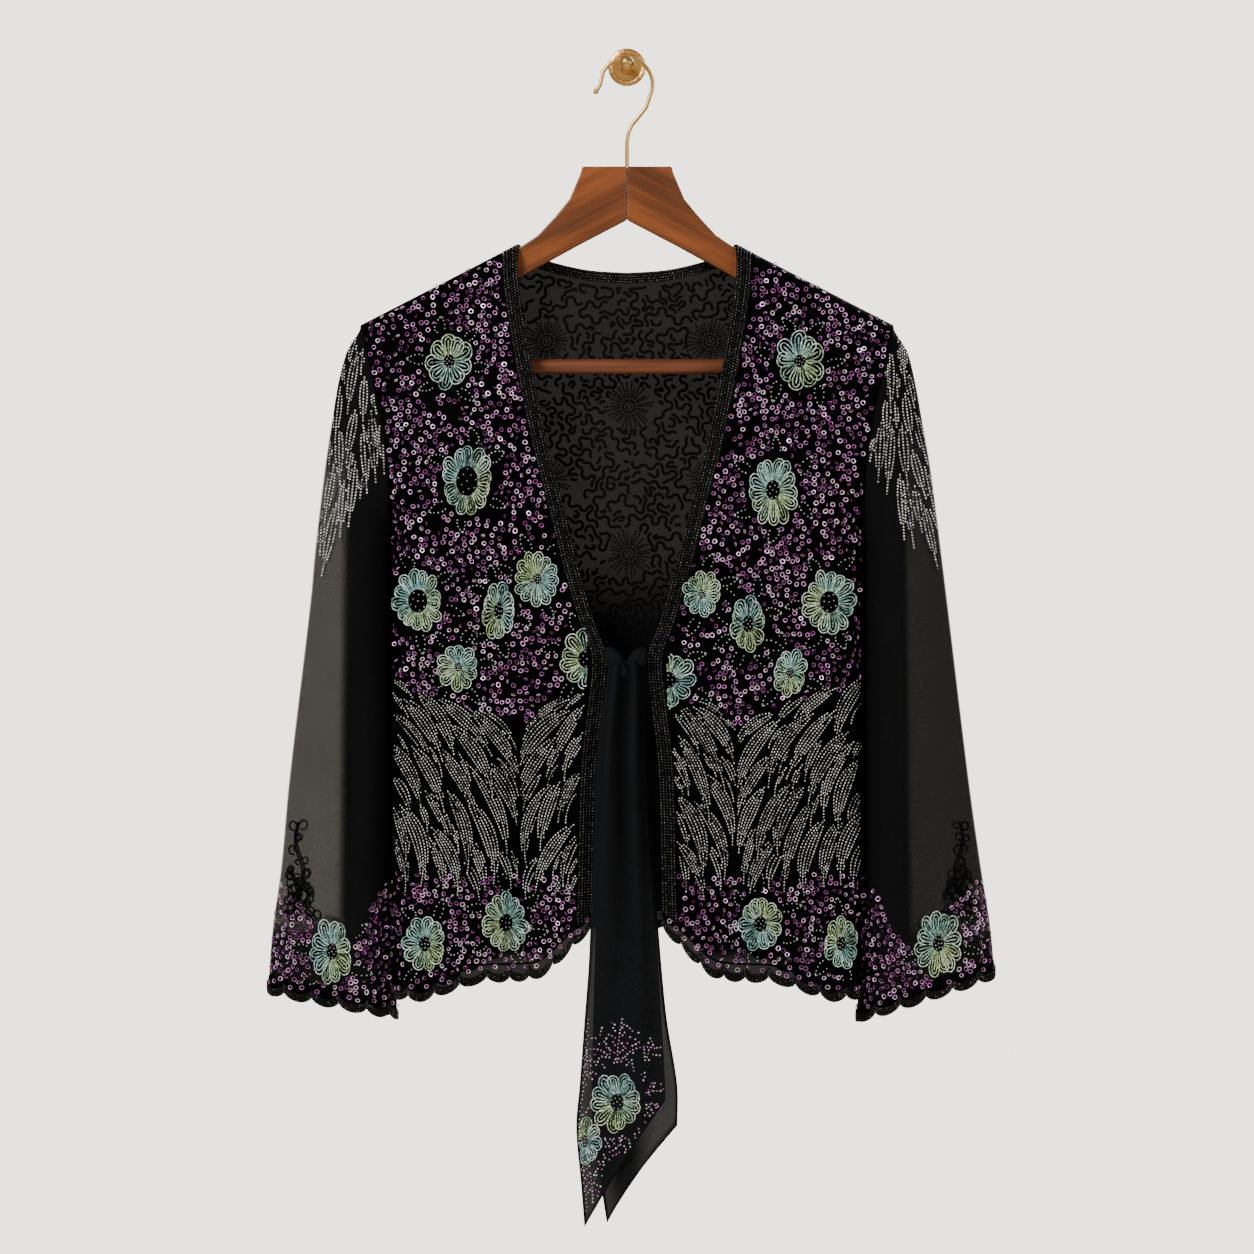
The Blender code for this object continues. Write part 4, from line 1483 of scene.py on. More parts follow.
        # The tint gives a few of the black beads a grey painted glint.
        tint, shade = rng.uniform(size=len(xs)) ** 5, rng.uniform(0.0, 1.0, len(xs))
        size = (0.00122, 0.00108, 0.0010)
        self.beads(self.black, np.array(xs), np.array(zs), np.array(ways), size, tint, shade)
        self.taken.oval(x, z, reach * 0.92, reach * 0.92)

    def finished(self, finishes: Finishes) -> list[bpy.types.Object]:
        """Builds what was sewn.

        Args:
            finishes: the materials.

        Returns:
            One object for each finish in use.
        """
        pairs = (
            (self.sequins, finishes.purple_sequin, "beaded_black"),
            (self.silver, finishes.silver_bead, "beaded_black"),
            (self.black, finishes.black_bead, "bead_band"),
            (self.dots, finishes.white_dot, "beaded_black"),
            (self.thread, finishes.thread, "beaded_black"),
            (self.cord, finishes.cord, "corded_edging"),
        )
        return [pile.build(finish) for pile, finish, slot in pairs if pile.held]


# The jacket's pieces

TOP_ROWS = (0.0, 0.00015, 0.0008, 0.002, 0.0042, 0.007, 0.0105, 0.0155, 0.022)
PANEL_ROWS = 84
SIDE_COLUMNS = 9
PANEL_LENGTH = 0.514
NEAR_HEM = -0.70
BELOW_HEM = -0.72
HOLD = 0.0018


def even_run(points: Array, spacing: float) -> tuple[Array, Array]:
    """Evenly spaced places on a line.

    Args:
        points: the line's points.
        spacing: the distance that is wanted.

    Returns:
        The places, as fractional indices into the line, and the line's length at each point.
    """
    lengths = np.concatenate([[0.0], np.cumsum(np.linalg.norm(np.diff(points, axis=0), axis=1))])
    count = max(2, int(round(lengths[-1] / spacing)))
    wanted = (np.arange(count) + 0.5) / count * lengths[-1]
    return np.interp(wanted, lengths, np.arange(len(points))), lengths


def sample(values: Array, places: Array) -> Array:
    """Rows of an array read at fractional indices.

    Args:
        values: the array.
        places: the indices.

    Returns:
        The blended rows.
    """
    low = np.clip(np.floor(places).astype(int), 0, len(values) - 2)
    share = (places - low)[:, None]
    return values[low] * (1 - share) + values[low + 1] * share


def rows_down(length: float) -> Array:
    """The rows of a panel's grid, as shares of its length, close together at the top."""
    rest = np.linspace(TOP_ROWS[-1], length, PANEL_ROWS - len(TOP_ROWS) + 2)[1:]
    return np.concatenate([TOP_ROWS, rest]) / length


def column_out(column: Array, inner_columns: int, inner: Array, z: Array) -> Array:
    """The distance from the centre line of a column of a panel's grid.

    Args:
        column: the column's number, counted from the centre.
        inner_columns: how many columns lie before the turn round the side.
        inner: the distance, where the column is one of those.
        z: the height.

    Returns:
        The distance, in metres.
    """
    share = np.clip(1.0 - (column - inner_columns) / SIDE_COLUMNS, 0.0, 1.0)
    rim = CUT.side_x(z) - CUT.side_round * (1.0 - np.sqrt(np.maximum(1.0 - share**2, 0.0)))
    return np.where(column <= inner_columns, inner, rim)


def row_frames(run: Array, beside: Array, toward: Triple, lift: float) -> Frames:
    """Even places for a band's beads along a row.

    Args:
        run: the row's line.
        beside: the same points a little to one side, on the cloth.
        toward: a direction that the beads stand out to.
        lift: how far they stand off the line.

    Returns:
        The places.
    """
    places, _ = even_run(run, BAND_PITCH)
    along = unit(sample(np.gradient(run, axis=0), places))
    up = unit(np.cross(along, unit(sample(beside - run, places))))
    up *= np.where(up @ np.array(toward) > 0, 1.0, -1.0)[:, None]
    return Frames(sample(run, places) + up * lift, along, np.cross(up, along), up)


@dataclass
class HangingEdge:
    """The sheer lobes under a hem, with a corded and beaded border along their edge."""

    name: str
    line: Array
    outward: Array
    closed: bool
    finishes: Finishes
    least: float = 0.0080
    lobe: float = 0.0058
    border: float = 0.0068
    pitch: float = 0.0215
    overlap: float = 0.0016
    wall: float = 0.0016

    def depth(self, share: Array, lobes: int) -> Array:
        """How far the edging hangs at a share of its length."""
        return self.least + self.lobe * np.abs(np.sin(math.pi * lobes * share)) ** 0.55

    def make(self) -> bpy.types.Object:
        """Builds the lobes, their border and its beads.

        Returns:
            The border.
        """
        line, outward = self.line, self.outward
        if self.closed:
            line, outward = np.vstack([line, line[:1]]), np.vstack([outward, outward[:1]])
        lengths = np.concatenate([[0.0], np.cumsum(np.linalg.norm(np.diff(line, axis=0), axis=1))])
        total = lengths[-1]
        lobes = round(total / self.pitch)
        columns = lobes * 10

        def hung(share: Array, fall: Array, out: Array) -> Array:
            spot = np.interp(share * total, lengths, np.arange(len(line)))
            drop = np.array([0, 0, 1.0]) * fall[:, None]
            return sample(line, spot) + sample(outward, spot) * out[:, None] - drop

        def lobe_place(across: Array, down: Array) -> Array:
            share = across / columns
            low = self.depth(share, lobes) - self.border * 0.8
            return hung(share, blend(-self.overlap, low, down / 3), np.full(len(share), 0.0004))

        def border_place(across: Array, down: Array) -> Array:
            share = across / columns
            fall = self.depth(share, lobes) - self.border * (1.0 - down / 3)
            return hung(share, fall, 0.0004 + np.sin(down / 3 * math.pi) * 0.0006)

        net = grid_piece(f"{self.name}_net", columns, 3, lobe_place, self.finishes.net, 0.0006,
                         self.closed, -0.9)
        shaded(net, lambda x, y, z: np.full(len(x), 0.62))
        border = grid_piece(f"{self.name}_border", columns, 3, border_place, self.finishes.cord, self.wall,
                            self.closed, -0.5)
        for piece in (net, border):
            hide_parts(self.name)
        pile = Pile(f"{self.name}_beads")
        fine = np.linspace(0, 1, lobes * 40 + 1)
        spot = np.interp(fine * total, lengths, np.arange(len(line)))
        out = unit(sample(outward, spot))
        rng = np.random.default_rng(lobes)
        for back in (0.0008, 0.0024, 0.0040, 0.0055):
            run = hung(fine, self.depth(fine, lobes) - back, np.full(len(fine), 0.0012))
            places, _ = even_run(run, 0.0020)
            centre, up = sample(run, places), unit(sample(out, places))
            along = unit(sample(np.gradient(run, axis=0), places))
            n = len(places)
            spots = Frames(centre, along, np.cross(up, along), up)
            # The tint gives a few of the black beads a grey painted glint.
            pile.copies(bead_shape(), spots, (0.00102, 0.00090, 0.0009), rng.uniform(0, 0.8, n) ** 6,
                        rng.uniform(0, 1, n))
        beads = pile.build(self.finishes.black_bead)
        sequins = self.sequins(hung, lobes, rng)
        return border

    def sequins(self, hung: Callable[[Array, Array, Array], Array], lobes: int,
                rng: np.random.Generator) -> bpy.types.Object:
        """Sews a few sequins on the lobes' net.

        Args:
            hung: called with shares of the length, falls and distances out; gives points.
            lobes: how many lobes there are.
            rng: the source of chance.

        Returns:
            The sequins.
        """
        pile = Pile(f"{self.name}_sequins")
        count = lobes * 2
        share = (np.arange(count) + 0.5 + rng.uniform(-0.32, 0.32, count)) / count
        room = self.depth(share, lobes) - self.border - 0.0018
        fall = rng.uniform(-0.0006, 1.0, count) * np.maximum(room, 0.0002)
        centre = hung(share, fall, np.full(count, 0.0022))
        along = unit(hung(share + 1e-4, fall, np.full(count, 0.0022)) - centre)
        up = unit(np.cross(np.array([0.0, 0.0, 1.0]), along))
        facing = np.sign(np.sum(up * unit(hung(share, fall, np.full(count, 0.0042)) - centre), axis=1))
        up = up * facing[:, None]
        spots = Frames(centre, along, np.cross(up, along), up)
        size = sequin_sizes(rng, count)
        # Random painted highlight and shade on the sequins.
        tint, shade = rng.uniform(0.1, 0.8, count), rng.uniform(0.3, 1.0, count)
        pile.copies(ring_shape(*SEQUIN), spots, size, tint, shade)
        return pile.build(self.finishes.purple_sequin)


class FrontPanel:
    """One front with all that is sewn to it, its beaded band and its hem's edging."""

    INNER = 46
    FOLDS = {Side.LEFT: 0.0840, Side.RIGHT: 0.0860}
    LEAF_LAST = -0.664
    LEAF_END = -0.650
    LOWER_TOP = -0.634
    LEAF_TOP = ((0.0300, -0.4910), (0.0600, -0.5010), (0.0850, -0.5140), (0.1300, -0.4985), (0.1840, -0.4810))

    def __init__(self, side: Side, finishes: Finishes):
        self.side = side
        self.finishes = finishes
        self.surface = FrontSurface(side)
        self.word = side.word
        self.downs = rows_down(PANEL_LENGTH)

    def out_at(self, column: Array, z: Array) -> Array:
        """The distance from the centre line of a column of the cloth's grid."""
        seam, edge = CUT.seam_x(z), CUT.side_x(z)
        inner = blend(seam, edge - CUT.side_round, np.minimum(column / self.INNER, 1.0))
        return column_out(column, self.INNER, inner, z)

    def cloth(self) -> bpy.types.Object:
        """Builds the black net."""
        total = self.INNER + SIDE_COLUMNS
        sign = self.side.value

        def place(across: Array, down: Array) -> Array:
            column = across if self.side is Side.RIGHT else total - across
            top = np.full(len(across), CUT.neck_z)
            bottom = np.full(len(across), NEAR_HEM)
            for _ in range(8):
                top = CUT.ridge_z(self.out_at(column, top))
                bottom = read(CUT.front_hem_line, self.out_at(column, bottom))
            z = blend(top, bottom, self.downs[down])
            out = self.out_at(column, z)
            out = np.where(column == 0, out + CUT.seam, out)
            return self.surface.at(out * sign, z)

        piece = grid_piece(f"front_{self.word}_net", total, PANEL_ROWS, place, self.finishes.net, 0.0009)
        shaded(piece, lambda x, y, z: 1.0 - 0.45 * eased((-0.688 - z) / 0.020))
        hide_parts(f"front_{self.word}")
        return piece

    def band(self) -> tuple[bpy.types.Object, bpy.types.Object]:
        """Builds the band and its rows of black beads."""
        sign = self.side.value
        columns, rows = 6, 96

        def point(share: Array, down: Array) -> Array:
            z = np.full(np.shape(share), -0.15)
            bottom = np.full(np.shape(share), -0.67)
            for _ in range(6):
                z = CUT.ridge_z(CUT.seam_x(z) - CUT.band_width * share)
                bottom = read(CUT.front_hem_line, CUT.seam_x(bottom) - CUT.band_width * share)
            z = blend(z - 0.0002, bottom, down)
            return self.surface.at(sign * (CUT.seam_x(z) - CUT.band_width * share), z)

        def place(across: Array, down: Array) -> Array:
            share = across / columns if self.side is Side.LEFT else 1.0 - across / columns
            downs = np.where(down < 5, down * 0.0011, 0.0055 + (down - 5) / (rows - 5) * (1 - 0.0055))
            return point(share * 0.96 + 0.03, np.clip(downs, 0, 1))

        strip = grid_piece(f"front_band_{self.word}_cloth", columns, rows, place, self.finishes.cord, 0.0016,
                           outward=-0.8)
        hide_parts(f"front_band_{self.word}")
        pile = Pile(f"front_band_{self.word}_beads")
        rng = np.random.default_rng(31 + sign)
        for row in range(5):
            share = np.full(700, 0.10 + 0.20 * row)
            run = point(share, np.linspace(0.001, 0.999, 700))
            side = point(share + 0.02, np.linspace(0.001, 0.999, 700))
            spots = row_frames(run, side, (0.0, -1.0, 0.2), 0.0007)
            n = len(spots.centre)
            # The grey tint is a painted glint on the black beads, weaker on the middle row.
            tint = rng.uniform(0.1, 0.6, n) * (0.45 if row == 2 else 1.0)
            pile.copies(bead_shape(), spots, BAND_BEAD, tint, rng.uniform(0.2, 1, n))
        beads = pile.build(self.finishes.black_bead)
        return strip, beads

    def holds(self, x: Array, z: Array) -> Array:
        """Whether places lie on this front's net, clear of its edges."""
        out = x * self.side.value
        across = (out > CUT.seam_x(z) + HOLD) & (out < CUT.side_x(z) - HOLD)
        return across & (z > read(CUT.front_hem_line, out) + HOLD) & (z < CUT.ridge_z(out) - 0.0020)

    def blooms(self) -> list[Bloom]:
        """The flowers of this front."""
        if self.side is Side.LEFT:
            return [
                Bloom(-0.1388, -0.2341, 0.0370, 0.0450, 9, 0.22, 1.8),
                Bloom(-0.1248, -0.3277, 0.0410, 0.0565, 13, 0.40, -0.6),
                Bloom(-0.1630, -0.4213, 0.0395, 0.0495, 13, 0.36, -0.9),
                Bloom(-0.1000, -0.4291, 0.0270, 0.0484, 9, 0.26, 3.6),
                Bloom(-0.0702, -0.4041, 0.0365, 0.0425, 12, 0.17, 2.4),
                Bloom(-0.1318, -0.4728, 0.0320, 0.0380, 10, 0.17, 4.2),
                Bloom(-0.0312, -0.4665, 0.0440, 0.0460, 11, 0.30, 3.0, 0.0310),
                Bloom(-0.1576, -0.6888, 0.0350, 0.0430, 11, 0.26, -0.7),
                Bloom(-0.0952, -0.6725, 0.0370, 0.0470, 12, 0.28, 3.6),
            ]
        return [
            Bloom(0.1349, -0.2341, 0.0400, 0.0465, 9, 0.20, -0.8),
            Bloom(0.1139, -0.3347, 0.0410, 0.0565, 13, 0.26, -1.2),
            Bloom(0.0585, -0.4158, 0.0300, 0.0380, 10, 0.17, 1.2),
            Bloom(0.0944, -0.4392, 0.0290, 0.0450, 9, 0.28, 4.8),
            Bloom(0.1576, -0.4221, 0.0420, 0.0515, 13, 0.32, 3.4),
            Bloom(0.1271, -0.4775, 0.0270, 0.0385, 9, 0.20, 4.4),
            Bloom(0.0318, -0.4829, 0.0440, 0.0450, 11, 0.28, 2.6, 0.0312),
            Bloom(0.1045, -0.6732, 0.0345, 0.0450, 11, 0.26, 1.0),
            Bloom(0.1669, -0.6888, 0.0260, 0.0410, 9, 0.26, 2.0),
        ]

    def leaves(self, needle: Needle) -> None:
        """Packs bead leaves that lean to a fold from both sides."""
        sign = self.side.value

        fold = self.FOLDS[self.side]

        def top(x: Value) -> Value:
            return read(self.LEAF_TOP, x * sign)

        for low, high, lean in ((fold + 0.0004, 0.184, -1), (0.0, fold - 0.0012, 1)):
            def beads(x: Array, z: Array) -> Array:
                out = x * sign
                near = np.maximum(low, CUT.seam_x(z) + 0.0010)
                far = np.minimum(high, CUT.side_x(z) - 0.0006)
                return (out > near) & (out < far) & (z < top(x) + 0.004) & (z > self.LEAF_LAST)

            def way(x: float, z: float) -> float:
                slant = math.radians(19.0 + 34.0 * math.exp(-max(float(top(x)) - z, 0.0) / 0.034))
                return math.atan2(-math.cos(slant), lean * sign * math.sin(slant))

            ends = Zone(lambda x, z: (z < top(x) + 0.002) & (z > self.LEAF_END + 0.006 * np.sin(x * 460.0)))
            kinds = tuple((900, *kind) for kind in LEAF_KINDS)
            box = (*sorted((sign * max(low, 0.030), sign * high)), self.LEAF_END - 0.005, -0.480)
            needle.fill_with_leaves(box, way, -lean * sign * 0.80, Zone(beads), kinds, ends, LEAF_GAP)

    def sew(self) -> list[bpy.types.Object]:
        """Sews on flowers, bead leaves, dots and sequins."""
        sign = self.side.value
        needle = Needle(f"front_{self.word}", self.surface, 101 + sign)
        blooms = self.blooms()
        for bloom in blooms:
            needle.flower(bloom)
        self.leaves(needle)
        above = Zone(lambda x, z: self.holds(x, z) & (z > read(self.LEAF_TOP, x * sign) - 0.004))
        below = Zone(lambda x, z: self.holds(x, z) & (z < self.LOWER_TOP))
        for bloom in blooms:
            needle.dotted_leaves(bloom, 6, below if bloom.z < self.LOWER_TOP else above)
        xs = sorted((sign * 0.028, sign * 0.212))
        needle.scatter_sequins((*xs, -0.520, -0.142), 820, above)
        needle.scatter_sequins((*xs, -0.722, self.LOWER_TOP), 190, below, 0.15)
        return needle.finished(self.finishes)

    def edging(self) -> bpy.types.Object:
        """Builds the scalloped edging under the hem."""
        sign = self.side.value
        edge = float(CUT.side_x(BELOW_HEM))
        outs = np.concatenate([np.linspace(float(CUT.seam_x(-0.67)) - CUT.band_width, edge - 0.003, 80),
                               edge - np.array([0.0015, 0.0008, 0.0003])])
        outs = outs if sign > 0 else outs[::-1]
        spots = self.surface.frames(outs * sign, read(CUT.front_hem_line, outs))
        out = spots.up * np.array([1.0, 1.0, 0.0])
        return HangingEdge(f"hem_edging_{self.word}", spots.centre, unit(out), False, self.finishes).make()

    def build(self) -> None:
        """Builds this front."""
        LOG.info("front %s", self.word)
        net = self.cloth()
        sewn = self.sew()
        self.band()
        self.edging()


class Back:
    """The back, with its neck band and its hem's edging."""

    HALF = 44
    BURSTS = (
        (0.0016, -0.268), (0.0016, -0.3839), (-0.0632, -0.217), (0.0655, -0.217),
        (-0.0640, -0.3260), (0.0650, -0.3260), (-0.1300, -0.268), (0.1310, -0.268),
        (-0.1300, -0.3839), (0.1310, -0.3839), (-0.0640, -0.4400), (0.0650, -0.4400),
    )
    BLOOMS = (
        Bloom(-0.1480, -0.6800, 0.0360, 0.0440, 10, 0.26, 5.2),
        Bloom(-0.0760, -0.6480, 0.0360, 0.0440, 11, 0.30, 4.2),
        Bloom(0.0020, -0.6380, 0.0340, 0.0420, 10, 0.24, 2.2),
        Bloom(0.0790, -0.6480, 0.0360, 0.0450, 10, 0.28, 1.2),
        Bloom(0.1490, -0.6800, 0.0350, 0.0430, 10, 0.26, 3.4),
    )

    def __init__(self, finishes: Finishes):
        self.finishes = finishes
        self.surface = BackSurface()

    def x_at(self, column: Array, z: Array) -> Array:
        """The X of a column, counted from the middle."""
        away = np.abs(column)
        inner = (CUT.side_x(z) - CUT.side_round) * np.minimum(away / self.HALF, 1.0)
        return column_out(away, self.HALF, inner, z) * np.sign(column)

    def build(self) -> None:
        """Builds the back and all that is on it."""
        LOG.info("back")
        half = self.HALF + SIDE_COLUMNS
        downs = rows_down(PANEL_LENGTH)

        def place(across: Array, down: Array) -> Array:
            column = half - across
            top = np.full(len(across), CUT.shoulder_z)
            bottom = np.full(len(across), NEAR_HEM)
            for _ in range(8):
                x = self.x_at(column, top)
                top = CUT.back_top(x) + np.where(np.abs(x) < CUT.back_seam_line[-1][0] - 0.002, 0.0018, 0.0)
                bottom = read(CUT.back_hem_line, np.abs(self.x_at(column, bottom)))
            z = blend(top, bottom, downs[down])
            return self.surface.at(self.x_at(column, z), z)

        net = grid_piece("back_net", 2 * half, PANEL_ROWS, place, self.finishes.back_net, 0.0009)
        # Denser, and so darker, towards the bottom: painted shade of the hollow deep inside the jacket.
        shaded(net, lambda x, y, z: 0.5 * eased((-0.38 - z) / 0.08) + 0.40)
        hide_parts("back")
        sewn = self.sew()
        self.neck_band()
        edge = float(CUT.side_x(BELOW_HEM))
        ends = edge - np.array([0.0003, 0.0008, 0.0015])
        xs = np.concatenate([ends, np.linspace(edge - 0.003, 0.003 - edge, 150), -ends[::-1]])
        spots = self.surface.frames(xs, read(CUT.back_hem_line, np.abs(xs)))
        out = unit(spots.up * np.array([1.0, 1.0, 0.0]))
        HangingEdge("hem_edging_back", spots.centre, out, False, self.finishes).make()

    def neck_band(self) -> None:
        """Builds the band round the back neck and its rows of beads."""
        half = CUT.back_seam_line[-1][0]
        columns, rows = 56, 4

        def point(share: Array, width: Array) -> Array:
            turn = (share * 2.0 - 1.0) * math.pi / 2
            low = -np.sin(turn) * half * 0.993
            over = low * CUT.neck_x / (half * 0.993)
            x = blend(over, low, width)
            z = blend(read(CUT.back_neck_line, np.abs(over)), CUT.back_top(low) + CUT.seam * 3, width)
            return self.surface.at(x, np.minimum(z, CUT.ridge_z(x) - CUT.seam))

        strip = grid_piece("neck_band_cloth", columns, rows, lambda a, d: point(a / columns, d / rows),
                           self.finishes.cord, 0.0016, outward=-0.8)
        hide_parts("neck_band")
        pile = Pile("neck_band_beads")
        rng = np.random.default_rng(77)
        for face in (1.0, -1.0):
            for row in range(4):
                share = np.linspace(0.012, 0.988, 300)
                width = np.full(300, 0.12 + 0.25 * row)
                run, lower = point(share, width), point(share, width + 0.03)
                spots = row_frames(run, lower, (0.0, face, 0.0), 0.0007 if face > 0 else 0.0020)
                n = len(spots.centre)
                # The grey tint is a painted glint on the black beads.
                tint, shade = rng.uniform(0.1, 0.6, n), rng.uniform(0.2, 1, n)
                pile.copies(bead_shape(), spots, BAND_BEAD, tint, shade)
        beads = pile.build(self.finishes.black_bead)

    def sew(self) -> list[bpy.types.Object]:
        """Sews on the back's cord, bursts, bead leaves, flowers and sequins."""
        needle = Needle("back", self.surface, 505)
        needle.seed_solid = dot_shape()

        def holds(x: Array, z: Array) -> Array:
            across = np.abs(x) < CUT.side_x(z) - HOLD
            return across & (z > read(CUT.back_hem_line, np.abs(x)) + HOLD) & (z < CUT.back_top(x) - 0.0030)

        for x, z in self.BURSTS:
            needle.burst(x, z, 0.0205)
        for bloom in self.BLOOMS:
            needle.flower(bloom)
        folds = (-0.1825, -0.0980, 0.0, 0.1020, 0.1825)
        for number, (low, high) in enumerate(zip(folds, folds[1:])):
            lean = 1 if number % 2 == 0 else -1
            zone = Zone(lambda x, z: (x > low + 0.0006) & (x < high - 0.0006) & (z < -0.472) & (z > -0.640))
            ends = Zone(lambda x, z: (z < -0.476) & (z > -0.626 + 0.006 * np.sin(x * 460.0)))

            def way(x: float, z: float) -> float:
                slant = math.radians(19.0 + 32.0 * math.exp(min((z + 0.476) / 0.034, 0.0)))
                return math.atan2(-math.cos(slant), lean * math.sin(slant))

            kinds = tuple((700, *kind) for kind in LEAF_KINDS)
            box = (low, high, -0.630, -0.474)
            needle.fill_with_leaves(box, way, -lean * 0.80, zone, kinds, ends, LEAF_GAP)
        below = Zone(lambda x, z: holds(x, z) & (z < -0.628))
        for bloom in self.BLOOMS:
            needle.dotted_leaves(bloom, 5, below)
        needle.scatter_sequins((-0.182, 0.182, -0.722, -0.628), 340, below)
        above = Zone(lambda x, z: holds(x, z) & (z > -0.470))
        needle.squiggles((-0.206, 0.206, -0.474, -0.150), 0.0046, above)
        return needle.finished(self.finishes)


class Sleeve:
    """One sleeve with its feathers, its cuff's flowers and its edging."""

    COLUMNS = 84
    ROWS = 84
    FOLD_X = 0.2190
    CUFF_TOP = (
        (0.1840, -0.634), (0.1950, -0.650), (0.2080, -0.676), (0.2250, -0.694), (0.2420, -0.678),
        (0.2520, -0.660), (0.2620, -0.652), (0.2720, -0.640), (0.2900, -0.636),
    )
    FEATHER_NEAR = (
        (-0.4120, 0.1870), (-0.3230, 0.1870), (-0.2880, 0.1880), (-0.2575, 0.1934), (-0.2404, 0.1989),
        (-0.2216, 0.2059), (-0.2123, 0.2125),
    )
    FEATHER_END = (
        (0.1860, -0.318), (0.2005, -0.330), (0.2075, -0.340),
        (0.2176, -0.356), (0.2293, -0.370), (0.2400, -0.388),
    )
    FEATHER_TIPS = {
        Side.LEFT: ((0.1895, -0.323), (0.1960, -0.331), (0.2030, -0.339), (0.2080, -0.347),
                    (0.2176, -0.365), (0.2240, -0.372), (0.2300, -0.382), (0.2385, -0.4026)),
        Side.RIGHT: ((0.1895, -0.323), (0.1960, -0.331), (0.2030, -0.338), (0.2090, -0.352),
                     (0.2165, -0.3753), (0.2240, -0.380), (0.2320, -0.387), (0.2430, -0.398)),
    }

    def __init__(self, side: Side, finishes: Finishes):
        self.side = side
        self.finishes = finishes
        self.word = side.word

    def cloth(self) -> bpy.types.Object:
        """Builds the sheer tube."""
        surface = SleeveSurface(self.side)
        way = 1.0 if self.side is Side.LEFT else -1.0

        def place(across: Array, down: Array) -> Array:
            share = (down / self.ROWS) ** 1.12
            return surface.round_at(way * 2 * np.pi * across / self.COLUMNS, share)

        piece = grid_piece(f"sleeve_{self.word}_chiffon", self.COLUMNS, self.ROWS, place, self.finishes.sheer,
                           0.0008, True)

        def dense(x: Array, y: Array, z: Array) -> Array:
            out = np.abs(x)
            fold = self.FOLD_X + (z + 0.36) * -0.012
            # Denser, and so black, along the inner fold by the body: partly the layers that overlap there,
            # partly painted shade.
            inner = 1.0 - eased((out - fold + 0.0080) / 0.0140)
            cap = eased((z + 0.330) / 0.070)
            cuff = eased((-0.668 - z) / 0.022) * 0.55
            least = 0.0 if self.side is Side.LEFT else 0.30
            return np.clip(np.maximum(np.maximum(inner, cap * 0.8), np.maximum(cuff, least)), 0.0, 1.0)

        shaded(piece, dense)
        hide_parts(f"sleeve_{self.word}")
        return piece

    def sew(self, facing: Face) -> list[bpy.types.Object]:
        """Sews feathers at the head of the sleeve, and flowers, sequins and cord at its cuff."""
        sign = self.side.value
        k = 0 if self.side is Side.LEFT else 1
        surface = SleeveSurface(self.side, facing)
        ends = "front" if facing is Face.ROOM else "rear"
        needle = Needle(f"sleeve_{self.word}_{ends}", surface, 900 + 10 * sign + facing.value)
        needle.seed_half = 0.00082

        def outer(z: Value) -> Value:
            return read(CUT.sleeve_outer_line, z, k + 1)

        self.feathers(needle, outer)
        cuff_end = outer(BELOW_HEM)
        cuff_run = float(cuff_end) - 0.182

        def cuff(x: Array, z: Array) -> Array:
            out = x * sign
            inward = np.clip((cuff_end - out) / cuff_run, 0, 1)
            end = blend(CUT.cuff_outer_z[k], CUT.cuff_inner_z[k], inward)
            top = read(self.CUFF_TOP, out)
            return (out > 0.1845) & (out < outer(z) - 0.0020) & (z > end + HOLD) & (z < top)

        zone = Zone(cuff)
        if facing is Face.ROOM:
            bloom = (Bloom(-0.2309, -0.6951, 0.0335, 0.0510, 11, 0.24, -0.6) if sign < 0
                     else Bloom(0.2434, -0.6888, 0.0365, 0.0540, 12, 0.22, -1.0))
        else:
            bloom = Bloom(sign * 0.2380, -0.6900, 0.0340, 0.0480, 10, 0.26, 2.0)
        needle.flower(bloom)
        needle.dotted_leaves(bloom, 7, zone)
        xs = sorted((sign * 0.184, sign * 0.292))
        needle.scatter_sequins((*xs, -0.745, -0.600), 170, zone, 0.1)
        self.twig(needle, sign, outer)
        return needle.finished(self.finishes)

    def feathers(self, needle: Needle, outer: Callable[[Value], Value]) -> None:
        """Sews the bead feathers that fall from the shoulder.

        Args:
            needle: what sews them.
            outer: gives how far out the sleeve's outer line is at a height.
        """
        sign = self.side.value
        rng = needle.random

        def way(x: float, z: float) -> float:
            share = np.clip((x * sign - 0.186) / 0.050, 0.0, 1.0)
            slant = math.radians(-6.0 + 20.0 * share + 4.0 * math.sin(z * 190.0))
            return math.atan2(-math.cos(slant), sign * math.sin(slant))

        def beads(x: Array, z: Array) -> Array:
            out = x * sign
            near = np.maximum(read(self.FEATHER_NEAR, z), CUT.side_x(z) + 0.0016)
            return (out > near) & (out < outer(z) - 0.0014) & (z < -0.2110) & (z > -0.412)

        zone = Zone(beads)
        for out, z in self.FEATHER_TIPS[self.side]:
            long = rng.uniform(0.046, 0.060)
            toward = way(sign * out, z) + rng.uniform(-0.04, 0.04)
            x, z = sign * out - long / 2 * math.cos(toward), z - long / 2 * math.sin(toward)
            needle.bead_leaf(x, z, toward, long, rng.uniform(0.0078, 0.0096), 0.0, zone, 0.5, 0.0018)
        low = Zone(lambda x, z: z > read(self.FEATHER_END, x * sign))
        xs = sorted((sign * 0.184, sign * 0.248))
        kinds = ((1200, 0.046, 0.0088, 0.84), (1200, 0.034, 0.0080, 0.76), (1200, 0.022, 0.0070, 0.70))
        needle.fill_with_leaves((*xs, -0.400, -0.211), way, 0.10, zone, kinds, low, 0.0022)

